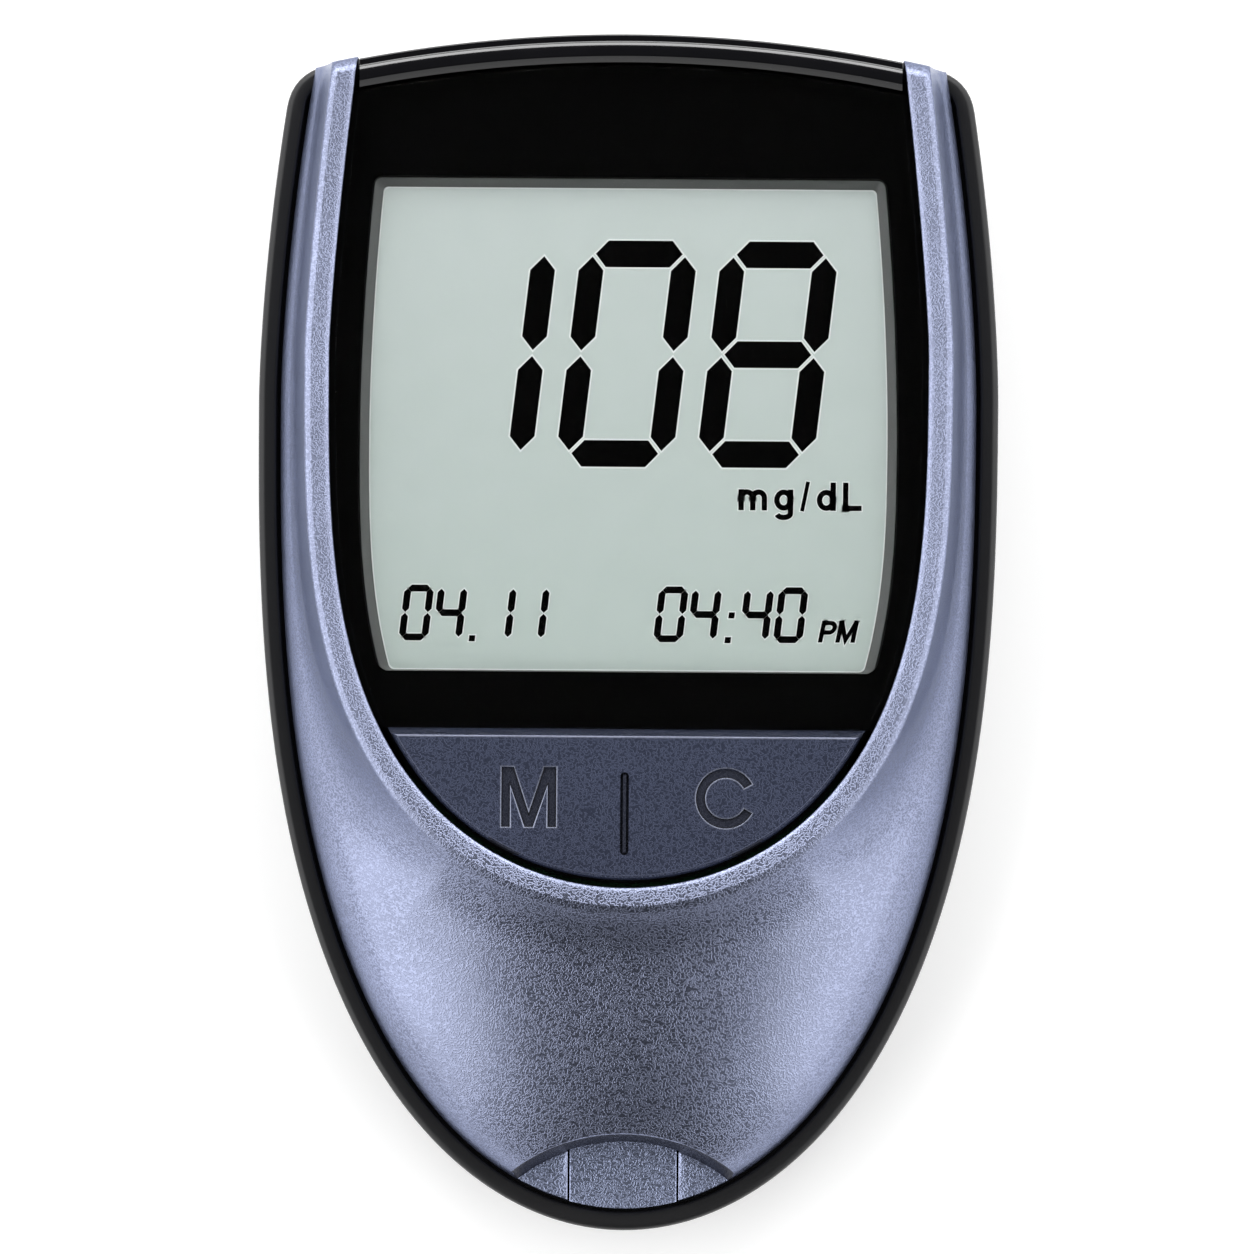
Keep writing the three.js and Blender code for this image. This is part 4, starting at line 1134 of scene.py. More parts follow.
    def end_drop(self, line: CrossLine, reach: float) -> float:
        """How far the rail's rounded end falls at one place.

        Args:
            line: The cross line.
            reach: Distance from the line's origin.

        Returns:
            The fall.
        """
        x, y = line.point(reach)
        from_end = max(0.0, self.rail_end_radius - max(0.0, self.plan.arc_y(x) - y))
        return self.rail_end_radius - math.sqrt(self.rail_end_radius**2 - from_end**2)

    def height(self, line: CrossLine, reach: float) -> float:
        """Height of the cover's face.

        Args:
            line: The cross line.
            reach: Distance from the line's origin.

        Returns:
            The height above the back.
        """
        drop = self.end_drop(line, reach)
        top = self.levels.crease + self.collar_lift
        if reach <= line.crease:
            from_inner, from_crease = reach - line.inner, line.crease - reach
            fall = self.levels.collar_fall * from_crease / (line.crease - line.inner)
            fall += self.inner_facet_slope * max(0.0, self.inner_facet - from_inner)
            fall += self.crease_facet_slope * max(0.0, self.crease_facet - from_crease)
            return top - fall - drop
        top -= self.crease_facet_slope * self.crease_facet
        rest = max(0.0, 1 - (reach - line.crease) / self.foot(line))
        step = (top - self.dome(line, line.crease)) * rest**self.foot_power_share
        face = self.dome(line, reach) + step
        return face - drop * min(1.0, (face - self.levels.shoulder) / self.rail_end_radius)

    def section(self, line: CrossLine, hollow: bool) -> list[Point]:
        """The closed section on one cross line.

        Args:
            line: The cross line.
            hollow: True for the shell, False where it is filled down to the skirt.

        Returns:
            Points round the section.
        """
        foot_end = line.crease + self.foot(line)
        band = (line.inner + self.inner_facet, line.crease - self.crease_facet)
        width = band[1] - band[0]
        reaches = [line.inner, band[0], *(band[0] + width * s for s in self.band_shares), band[1]]
        reaches.append(line.crease)
        reaches += [line.crease + self.foot(line) * s for s in self.foot_shares]
        for i in range(self.dome_steps):
            reaches.append(foot_end + (line.outer - foot_end) * math.sin(i / self.dome_steps * math.pi / 2))
        skirt = self.levels.skirt
        x, y = line.point(line.inner)
        closed = self.plan.arc_y(x) - y < self.end_wall
        floor = skirt + self.plan.fit_gap
        low = self.height(line, line.inner) - self.wall
        if not hollow or closed:
            low = floor if hollow else skirt + self.filled_inset
        profile: list[Flat] = [(line.inner, low)]
        profile += [(r, self.height(line, r)) for r in reaches]
        profile += [(line.outer, self.levels.shoulder), (line.outer, skirt)]
        if not hollow:
            inset = self.filled_inset
            profile = [(min(max(r, line.inner + inset), line.outer - inset), max(z - inset, skirt))
                       for r, z in profile]
            return [(*line.point(r), z) for r, z in profile]
        crease_at, opening_at = 6, 1
        for corner, cut in ((crease_at, self.crease_round), (opening_at, self.opening_round)):
            profile = rounded(profile, corner, cut)
        wall_reach = line.outer - self.side_wall
        profile.append((wall_reach, skirt))
        for share in self.inside_shares:
            r = wall_reach + (line.inner - wall_reach) * share
            under = self.height(line, r) - self.wall
            beside = self.height(line, min(r + self.side_wall, line.outer)) - self.plan.fit_gap
            profile.append((r, floor if closed else max(min(under, beside), floor)))
        return [(*line.point(r), z) for r, z in profile]

    def horseshoe(self, hollow: bool) -> Shape:
        """The swept shell or its filled form.

        Args:
            hollow: True for the shell, False for its filled form.

        Returns:
            The swept form.
        """
        right = [self.section(line, hollow) for line in self.right_lines()]
        left = [[(-x, y, z) for x, y, z in ring] for ring in right[:0:-1]]
        return loft([*left, *right])

    @property
    def port_centre_y(self) -> float:
        """Level of the middle of the port's round back wall."""
        return self.plan.tip_y + self.port_apex - self.port_radius

    def face_height(self, x: float, y: float) -> float:
        """Height of the belly at one place."""
        line = self.cross_line((0, 0), (abs(x), y))
        return self.height(line, min(math.hypot(x, y), line.outer))

    def port_cut(self) -> Shape:
        """What is taken out for the port: a sector with a leaning, round-edged back wall.

        Returns:
            The sector.
        """
        radius, floor = self.port_radius, self.port_floor
        rings = []
        core, reach = self.port_core - radius, self.arch_reach
        for angle in np.linspace(-self.port_half_angle, self.port_half_angle, self.port_lines):
            sine, cosine = math.sin(angle), math.cos(angle)
            low, high = (self.face_height((radius + out) * sine, self.port_centre_y + (radius + out) * cosine)
                         for out in (0.0, reach))
            wall = rounded([(-self.port_lean, floor), (0.0, low), (reach, high)], 1, self.arch_round,
                           self.arch_steps)
            top = low + self.port_over
            section = [(core, floor), *wall[:-1], (wall[-2][0], top), (core, top)]
            rings.append([((radius + out) * sine, self.port_centre_y + (radius + out) * cosine, z)
                          for out, z in section])
        return loft(rings)

    def build(self, paint: Material, shade: Material, painted_light_floor: Material) -> Piece:
        """Makes and dresses the cover.

        Args:
            paint: The cover's metallic paint.
            shade: The darker paint on the port's steep back wall, painted shade.
            painted_light_floor: The lighter paint on the port's floor, painted light on its level face.

        Returns:
            The cover.
        """
        high = self.levels.crease + OVERRUN_MM
        floor = self.port_floor
        curtain = self.horseshoe(False).build("curtain")
        outside = self.port_radius + self.port_wall
        around = round_bar((0.0, self.port_centre_y), (floor - self.curtain_drop, high),
                           (outside - self.port_lean / 2, outside), self.curtain_sides)
        carve(curtain, around, Operation.KEEP_COMMON)
        wall = Shape([tuple(v.co) for v in curtain.data.vertices],
                     [tuple(p.vertices) for p in curtain.data.polygons])
        bpy.data.objects.remove(curtain)
        cover = self.horseshoe(True).build("painted_cover")
        carve(cover, wall, Operation.ADD)
        half = self.guide_half_width + self.plan.fit_gap
        tip = self.plan.tip_y
        under = block((-half, half), (tip, self.guide_back_y + self.plan.fit_gap),
                      (self.levels.skirt - OVERRUN_MM, floor + self.floor_overlap))
        passage = block((-half, half), (tip, self.guide_back_y),
                        (floor - self.slot_overlap, self.levels.guide_top + self.slot_height))
        flare = self.slot_flare
        mouth = [(-half - flare, tip), (half + flare, tip), (half + flare, self.guide_back_y),
                 (-half - flare, self.guide_back_y)]
        throat = [(math.copysign(half, x), y) for x, y in mouth]
        funnel = loft([lifted(throat, floor - flare / 2), lifted(mouth, floor),
                       lifted(mouth, floor + self.mouth_overlap)])
        carve(cover, gathered((self.port_cut(), under, passage, funnel)), Operation.CUT)
        beyond = self.plan.case_outline(-OVERRUN_MM)
        within = self.plan.case_outline(self.plan.rim_width)
        low_z, high_z = self.levels.skirt - OVERRUN_MM, self.levels.shoulder
        trim = [lifted(beyond, low_z), lifted(beyond, high_z), lifted(within, high_z), lifted(within, low_z)]
        carve(cover, loft(trim, closed=True), Operation.CUT)
        self.mark_port(cover)
        return finished(cover, "housing", [paint, shade, painted_light_floor], ["front_cover"],
                        self.smooth_below)

    def mark_port(self, cover: Piece) -> None:
        """Gives the port's leaning back wall the second material, painted shade, and its floor the third,
        painted light.

        Args:
            cover: The cover, still in millimetres.
        """
        for face in cover.data.polygons:
            out = Vector((face.center.x, face.center.y - self.port_centre_y))
            faces_in = -(out.x * face.normal.x + out.y * face.normal.y) / out.length > self.wall_facing
            foot = self.port_radius - self.port_lean
            near = foot - self.slot_overlap < out.length < self.port_radius + self.mark_slack
            inside = (self.port_floor - self.floor_overlap < face.center.z
                      and face.center.y < self.plan.tip_y + self.port_reach_y)
            level = (abs(face.center.z - self.port_floor) < self.mark_slack
                     and face.normal.z > self.level_facing)
            # Painted shade on the back wall (index 1) and painted light on the level floor (index 2).
            face.material_index = 2 if level and inside else int(near and faces_in and inside)


@dataclass(frozen=True)
class StripGuide:
    """The floor of the strip channel, with raised edges and a rounded front."""

    plan: Plan
    levels: Levels
    half_width: float = 4.33
    strip_half_width: float = 3.7
    back_y: float = -36.8
    edge_height: float = 0.45
    edge_round: float = 0.14
    front_steps: int = 17
    ramp_from_tip: float = 9.4
    ramp_from_back: float = 2.0
    ramp_corner: float = 0.6

    def build(self, paint: Material) -> Piece:
        """Makes and dresses the guide.

        Args:
            paint: The guide's paint, lighter than the cover's as painted light on its level faces.

        Returns:
            The guide.
        """
        top, skirt = self.levels.guide_top, self.levels.skirt
        rings = []
        for inset, z in ((0, skirt), (0, top - self.edge_round / 2), (self.edge_round, top)):
            side = self.plan.side(self.plan.case, -self.plan.rim_width - inset)
            half = self.half_width - inset
            front = []
            for x in np.linspace(-half, half, self.front_steps):
                front.append((float(x), float(np.interp(abs(x), side[:, 0], side[:, 1]))))
            rings.append(lifted([*front, (half, self.back_y), (-half, self.back_y)], z))
        guide = loft(rings).build("strip_channel_floor")
        ramp = round_rectangle((-self.strip_half_width, self.strip_half_width),
                               (self.plan.tip_y + self.ramp_from_tip, self.back_y + self.ramp_from_back),
                               self.ramp_corner)
        carve(guide, prism(ramp, top - self.edge_height, top + OVERRUN_MM / 2), Operation.CUT)
        return finished(guide, "housing", [paint], ["strip_guide"])


# Rear case


@dataclass(frozen=True)
class RearCase:
    """The satin black tub with its rim, cell bay, screw wells and label recess."""

    plan: Plan
    levels: Levels
    wall: float = 1.6
    back_edge_width: float = 6.0
    back_edge_height: float = 7.3
    ledge_width: float = 1.7
    ledge_thickness: float = 1.3
    outer_round: float = 0.55
    inner_round: float = 0.3
    back_edge_steps: int = 12
    outer_round_steps: int = 5
    inner_round_steps: int = 3
    inside_steps: int = 7
    bay_half_width: float = 11.3
    bay_low_y: float = -18.85
    bay_high_y: float = 30.85
    bay_wall: float = 1.5
    bay_ceiling: float = 12.6
    bay_roof: float = 0.8
    door_half_width: float = 12.3
    door_low_y: float = -21.85
    door_high_y: float = 34.45
    door_corner: float = 2.0
    seat_width: float = 1.8
    seat_height: float = 1.6
    hook_x: float = 6.5
    hook_half_width: float = 2.0
    hook_reach: float = 1.9
    hook_thickness: float = 1.1
    boss_radius: float = 3.0
    boss_top: float = 8.6
    head_radius: float = 1.8
    head_seat: float = 2.4
    shaft_radius: float = 0.9
    pillar_radius: float = 2.4
    pillar_top: float = 13.6
    label_half_width: float = 8.5
    label_low_y: float = -36.0
    label_length: float = 9.0
    label_recess: float = 0.4
    label_corner: float = 1.1
    pillar_gap: float = 0.1
    seat_ease: float = 0.1
    board_hole_low: float = 8.4
    case_screws: tuple[Flat, ...] = ((-21, 40.3), (21, 40.3), (-15.5, -26), (15.5, -26))
    board_screws: tuple[Flat, ...] = ((-12.8, 41.3), (12.8, 41.3), (0, -23.05))

    @property
    def door_seat(self) -> float:
        """The height that the door closes against."""
        return self.levels.door_top + self.plan.fit_gap

    def tub(self) -> Shape:
        """The outer skin up to the rim and the inner skin back down.

        Returns:
            The tub.
        """
        rim, ledge = self.levels.rim, self.levels.ledge
        lip = self.plan.rim_width - self.plan.fit_gap
        inner = lip + self.ledge_width
        profile: list[Flat] = []
        for i in range(self.back_edge_steps + 1):
            t = math.pi / 2 * (1 - i / self.back_edge_steps)
            profile.append((self.back_edge_width * (1 - math.cos(t)),
                            self.back_edge_height * (1 - math.sin(t))))
        for i in range(self.outer_round_steps + 1):
            t = math.pi / 2 * i / self.outer_round_steps
            profile.append((self.outer_round * (1 - math.cos(t)),
                            rim - self.outer_round * (1 - math.sin(t))))
        for i in range(self.inner_round_steps + 1):
            t = math.pi / 2 * (1 - i / self.inner_round_steps)
            profile.append((lip - self.inner_round * (1 - math.cos(t)),
                            rim - self.inner_round * (1 - math.sin(t))))
        profile += [(lip, ledge), (inner, ledge), (inner, ledge - self.ledge_thickness)]
        for i in range(1, self.inside_steps + 1):
            angle = math.pi / 2 * i / self.inside_steps
            inset = self.back_edge_width - (self.back_edge_width - inner) * math.cos(angle)
            drop = (ledge - self.ledge_thickness - self.wall) * math.sin(angle)
            profile.append((inset, ledge - self.ledge_thickness - drop))
        return loft([lifted(self.plan.case_outline(inset), z) for inset, z in profile])

    def inner_structure(self) -> Shape:
        """Bay walls, door frame, hinge block, bosses and pillars.

        Returns:
            All of them in one shape.
        """
        gap, seat = self.plan.fit_gap, self.door_seat
        half = self.bay_half_width + self.bay_wall
        frame_half = self.door_half_width + gap + self.seat_width
        frame_y = (self.door_low_y - gap - self.seat_width,
                   self.door_high_y + gap + self.hook_reach + self.seat_width)
        hook_top = seat + gap + self.hook_thickness + self.hook_reach
        deep = self.wall / 2
        bay_y = (self.bay_low_y - self.bay_wall, self.bay_high_y + self.bay_wall)
        return gathered((
            block((-half, half), bay_y, (seat, self.bay_ceiling + self.bay_roof)),
            block((-frame_half, frame_half), frame_y, (deep, seat + self.seat_height)),
            block((-frame_half, frame_half), (self.bay_high_y, frame_y[1]),
                  (self.wall, hook_top + self.bay_wall)),
            *(round_bar(place, (deep, self.boss_top), (self.boss_radius,) * 2) for place in self.case_screws),
            *(round_bar(place, (deep, self.pillar_top - self.pillar_gap), (self.pillar_radius,) * 2)
              for place in self.board_screws),
        ))

    def hollows(self) -> Shape:
        """Everything that the door, the cells, the screws and the label take out.

        Returns:
            All of it in one shape.
        """
        gap, seat, top = self.plan.fit_gap, self.door_seat, self.levels.door_top
        beyond, x = -OVERRUN_MM, self.bay_half_width
        hook_top = seat + gap + self.hook_thickness + self.hook_reach
        hook_y = (self.door_high_y + gap / 2 - self.hook_reach - self.hook_thickness - 2 * gap,
                  self.door_high_y + self.hook_reach + gap)
        hook_half = self.hook_half_width + gap
        recess = round_rectangle((-self.door_half_width - gap, self.door_half_width + gap),
                                 (self.door_low_y - gap, self.door_high_y + gap), self.door_corner + gap)
        label = round_rectangle((-self.label_half_width - gap, self.label_half_width + gap),
                                (self.label_low_y - gap, self.label_low_y + self.label_length + gap),
                                self.label_corner)
        parts = [block((-x, x), (self.bay_low_y, self.bay_high_y), (beyond, self.bay_ceiling)),
                 prism(recess, beyond, seat)]
        for side in (-self.hook_x, self.hook_x):
            parts.append(block((side - hook_half, side + hook_half), hook_y, (top, hook_top)))
        for place in self.case_screws:
            parts.append(round_bar(place, (beyond, self.head_seat + self.seat_ease),
                                   (self.head_radius + gap,) * 2))
            parts.append(round_bar(place, (beyond, self.boss_top + OVERRUN_MM),
                                   (self.shaft_radius + gap,) * 2))
        for place in self.board_screws:
            parts.append(round_bar(place, (self.board_hole_low, self.pillar_top + OVERRUN_MM),
                                   (self.shaft_radius + gap / 2,) * 2))
        return gathered((*parts, prism(label, beyond, self.label_recess)))

    def build(self, plastic: Material) -> Piece:
        """Makes and dresses the case.

        Args:
            plastic: The satin black plastic.

        Returns:
            The case.
        """
        case = self.tub().build("satin_case")
        carve(case, self.inner_structure(), Operation.ADD)
        carve(case, self.hollows(), Operation.CUT)
        return finished(case, "housing", [plastic], ["rear_case"])


# Display end


@dataclass(frozen=True)
class TopCap:
    """The glossy bar across the top end, with a lip, a rounded ridge and a groove."""

    plan: Plan
    levels: Levels
    depth: float = 2.5
    wall: float = 1.6
    lip: float = 1.9
    draft: float = 0.2
    ledge_width: float = 0.72
    ledge_drop: float = 0.6
    ridge_start: float = 1.45
    ridge_end: float = 1.8
    ridge_fall: float = 0.42
    slope_round: float = 0.25
    slope_degrees: float = 44.0
    slope_from_back: float = 0.05
    lip_edge: float = 0.1
    side_gap: float = 0.15
    stations: int = 73
    ridge_steps: int = 8
    slope_steps: int = 6

    def section(self) -> list[Flat]:
        """Distance from the top end and height of each point round the section.

        Returns:
            The points, in order.
        """
        high = self.levels.collar_inner + self.levels.collar_fall / 2
        shoulder = self.levels.shoulder
        ledge = high - self.ledge_drop
        points = [(0.0, shoulder), (self.draft, ledge - self.lip_edge), (self.draft + self.lip_edge, ledge),
                  (self.ledge_width, ledge)]
        rise = self.ridge_start - self.ledge_width
        for i in range(self.ridge_steps + 1):
            t = math.pi / 2 * i / self.ridge_steps
            points.append((self.ridge_start - rise * math.cos(t), high - self.ridge_fall * (1 - math.sin(t))))
        steep = math.radians(self.slope_degrees)
        for t in np.linspace(0, steep, self.slope_steps):
            points.append((self.ridge_end + self.slope_round * math.sin(t),
                           high - self.slope_round * (1 - math.cos(t))))
        foot = self.depth - self.slope_from_back
        points.append((foot, points[-1][1] - (foot - points[-1][0]) * math.tan(steep)))
        return [*points, (self.depth, high - self.lip), (self.wall, high - self.lip), (self.wall, shoulder)]

    def build(self, gloss: Material) -> Piece:
        """Makes and dresses the cap.

        Args:
            gloss: The glossy black plastic.

        Returns:
            The cap.
        """
        plan = self.plan
        half = plan.corner(plan.side(plan.opening, 0), 0)[0] - self.side_gap
        cap = loft([[(float(x), plan.arc_y(float(x), depth), z) for depth, z in self.section()]
                    for x in np.linspace(-half, half, self.stations)]).build("gloss_top_cap")
        return finished(cap, "housing", [gloss], ["top_cap"])


@dataclass(frozen=True)
class DisplayLens:
    """The clear lens over the display, with eased edges."""

    plan: Plan
    levels: Levels
    inset: float = 0.45
    low_y: float = -7.7
    top_gap: float = 2.8
    edge: float = 0.16
    edge_steps: int = 3

    def build(self, clear: Material) -> Piece:
        """Makes and dresses the lens.

        Args:
            clear: The clear acrylic.

        Returns:
            The lens.
        """
        rings = [(self.edge / 2, self.levels.lens_low), (0.0, self.levels.lens_low + self.edge / 2)]
        for angle in (math.pi / 2 * i / self.edge_steps for i in range(self.edge_steps + 1)):
            rings.append((self.edge * (1 - math.cos(angle)),
                          self.levels.lens_top - self.edge * (1 - math.sin(angle))))
        shape = loft([
            lifted(self.plan.cut_egg(self.plan.opening, self.inset + inset, self.low_y + inset,
                                     lambda x, inset=inset: self.plan.arc_y(x, self.top_gap + inset)), z)
            for inset, z in rings
        ])
        return finished(shape.build("clear_lens"), "housing", [clear], ["display_lens"])


@dataclass(frozen=True)
class DisplayWindow:
    """The black print behind the lens and the sloping edge round the display, with rounded corners."""

    plan: Plan
    levels: Levels
    low_y: float = -3.2
    high_y: float = 36.7
    slope_width: float = 0.72
    corner: float = 0.62
    mask_corner: float = 0.8
    line_width: float = 0.11
    line_levels: Flat = (0.004, 0.02)
    thickness: float = 0.15
    film_gap: float = 0.1
    print_beyond: float = 0.2
    print_low_y: float = -7.75
    print_top_gap: float = 2.75
    egg: Egg = Egg(21.75, 15.5, 36.1, 2.81, 74.9, 1.82)
    edge_top_gap: float = 0.3
    edge_inset: float = 0.07
    lip_width: float = 0.08
    lip_start: float = 0.02
    lip_height: float = 0.06
    lip_gap: float = 0.11
    edge_thickness: Flat = (0.03, 0.05)
    corner_share: float = 0.3
    bottom_share: float = 0.125

    def window(self, inset: float, corner: float) -> list[Flat]:
        """The window's outline, drawn in by the inset, by less at the bottom, with rounded corners."""
        low, high = self.low_y + inset * self.bottom_share, self.high_y - inset
        return self.plan.cut_egg(self.egg, inset, low, lambda x: high, corner)

    def build_mask(self, ink: Material) -> Piece:
        """Makes and dresses the print.

        Args:
            ink: The black print.

        Returns:
            The mask.
        """
        low = self.levels.lens_low - self.film_gap - self.thickness
        outline = self.plan.cut_egg(self.plan.opening, -self.print_beyond, self.print_low_y,
                                    lambda x: self.plan.arc_y(x, self.print_top_gap))
        mask = prism(outline, low, low + self.thickness).build("lens_print")
        half = OVERRUN_MM / 2
        hole = self.window(-self.film_gap, self.mask_corner)
        carve(mask, prism(hole, low - half, low + half), Operation.CUT)
        return finished(mask, "housing", [ink], ["lens_mask"])

    def build_line(self, light: Material) -> Piece:
        """Makes and dresses the light line along the display's edge.

        Args:
            light: The line's light film.

        Returns:
            The line.
        """
        low, high = (self.levels.display + level for level in self.line_levels)
        inset = self.slope_width + self.lip_width
        outlines = []
        for more in (0.0, self.line_width):
            level = self.low_y + inset * self.bottom_share + more
            top = self.high_y - inset - more
            outlines.append(self.plan.cut_egg(self.egg, inset + more, level, lambda x, top=top: top,
                                              self.corner - self.corner_share * inset))
        outer, inner = outlines
        ring = [lifted(outer, low), lifted(outer, high), lifted(inner, high), lifted(inner, low)]
        line = loft(ring, closed=True).build("display_border_line")
        return finished(line, "housing", [light])

    def build_edge(self, grey: Material) -> Piece:
        """Makes and dresses the sloping edge.

        Args:
            grey: The edge's grey plastic.

        Returns:
            The edge.
        """
        low, high = self.levels.display + self.lip_gap, self.levels.lens_low - self.edge_top_gap
        foot, slope = self.slope_width + self.lip_width, self.slope_width + self.lip_start
        under_foot, under_top = self.edge_thickness
        rings = []
        for inset, z in ((self.edge_inset, high), (slope, low + self.lip_height), (foot, low),
                         (foot, low - under_foot), (self.edge_inset, high - under_top)):
            rings.append(lifted(self.window(inset, self.corner - self.corner_share * inset), z))
        edge = loft(rings, closed=True).build("display_window_edge")
        return finished(edge, "housing", [grey])


class Part(Enum):
    """The seven bars of a digit."""

    TOP = "top"
    MIDDLE = "middle"
    BOTTOM = "bottom"
    UPPER_LEFT = "upper_left"
    UPPER_RIGHT = "upper_right"
    LOWER_LEFT = "lower_left"
    LOWER_RIGHT = "lower_right"


LEFT_BARS = (Part.UPPER_LEFT, Part.LOWER_LEFT)
RIGHT_BARS = (Part.UPPER_RIGHT, Part.LOWER_RIGHT)
DIGIT_BARS = {
    "0": (Part.TOP, Part.BOTTOM, *LEFT_BARS, *RIGHT_BARS),
    "1": RIGHT_BARS,
    "4": (Part.MIDDLE, Part.UPPER_LEFT, *RIGHT_BARS),
    "8": tuple(Part),
}


@dataclass(frozen=True)
class DigitStyle:
    """Sizes of a slanted seven-bar digit."""

    half_spacing: float = 3.734
    upright_offset: float = 4.04
    bar_offset: float = 8.07
    upright_length: float = 7.6
    upright_width: float = 2.0
    upright_tip: float = 1.12
    bar_length: float = 7.02
    bar_width: float = 2.15
    bar_tip: float = 0.93
    slant_share: float = 0.1156

    def bar(self, part: Part) -> list[Flat]:
        """The pointed outline of one bar, before it is slanted.

        Args:
            part: Which bar.

        Returns:
            Its outline about the digit's middle.
        """
        if part in (Part.TOP, Part.MIDDLE, Part.BOTTOM):
            y = {Part.TOP: 1, Part.MIDDLE: 0, Part.BOTTOM: -1}[part] * self.bar_offset
            half, flat, thick = self.bar_length / 2, self.bar_length / 2 - self.bar_tip, self.bar_width / 2
            return [(-half, y), (-flat, y - thick), (flat, y - thick), (half, y), (flat, y + thick),
                    (-flat, y + thick)]
        x = self.half_spacing * (-1 if part in LEFT_BARS else 1)
        y = self.upright_offset * (1 if part in (Part.UPPER_LEFT, Part.UPPER_RIGHT) else -1)
        half, thick = self.upright_length / 2, self.upright_width / 2
        flat = half - self.upright_tip
        return [(x, y - half), (x + thick, y - flat), (x + thick, y + flat), (x, y + half),
                (x - thick, y + flat), (x - thick, y - flat)]

    def slanted(self, outline: Path, centre: Flat, size: float) -> list[Flat]:
        """An outline about the digit's middle, slanted, scaled and moved to its place."""
        return [(centre[0] + size * (x + self.slant_share * y), centre[1] + size * y) for x, y in outline]


def grown(outline: Path, distance: float) -> list[Flat]:
    """A convex, counter-clockwise outline moved outwards.

    Args:
        outline: The outline.
        distance: How far each edge moves.

    Returns:
        The larger outline.
    """
    points = [Vector(p) for p in outline]
    least_share = 0.3
    moved_points = []
    for i, point in enumerate(points):
        before = (point - points[i - 1]).normalized()
        after = (points[(i + 1) % len(points)] - point).normalized()
        normal_before, normal_after = Vector((before.y, -before.x)), Vector((after.y, -after.x))
        bisector = (normal_before + normal_after).normalized()
        share = max(least_share, bisector.dot(normal_before))
        moved_points.append(tuple(point + bisector * distance / share))
    return moved_points


def ribbon(path: Path, width: float, beyond: float = 0.0) -> list[Flat]:
    """The outline of a stroke of one width along a path.

    Args:
        path: The stroke's middle line.
        width: The stroke's width.
        beyond: How far both ends run on.

    Returns:
        Its outline.
    """
    points = np.array(path, float)
    least_share = 0.4
    step = np.diff(points, axis=0)
    step /= np.linalg.norm(step, axis=1)[:, None]
    if not np.allclose(points[0], points[-1]):
        points[0] -= step[0] * beyond
        points[-1] += step[-1] * beyond
    normal = np.stack([-step[:, 1], step[:, 0]], axis=1)
    mean = np.vstack([normal[:1], normal[:-1] + normal[1:], normal[-1:]])
    mean /= np.linalg.norm(mean, axis=1)[:, None]
    share = (mean * np.vstack([normal, normal[-1:]])).sum(axis=1).clip(least_share)
    shift = mean * (width / 2 / share)[:, None]
    return [tuple(p) for p in np.vstack([points - shift, (points + shift)[::-1]])]


def bow(centre: Flat, radii: Flat, start: float, end: float, steps: int = 14) -> list[Flat]:
    """Part of an ellipse, from its half width and half height, between two angles in degrees."""
    angles = np.radians(np.linspace(start, end, steps + 1))
    return [(centre[0] + radii[0] * math.cos(a), centre[1] + radii[1] * math.sin(a)) for a in angles]


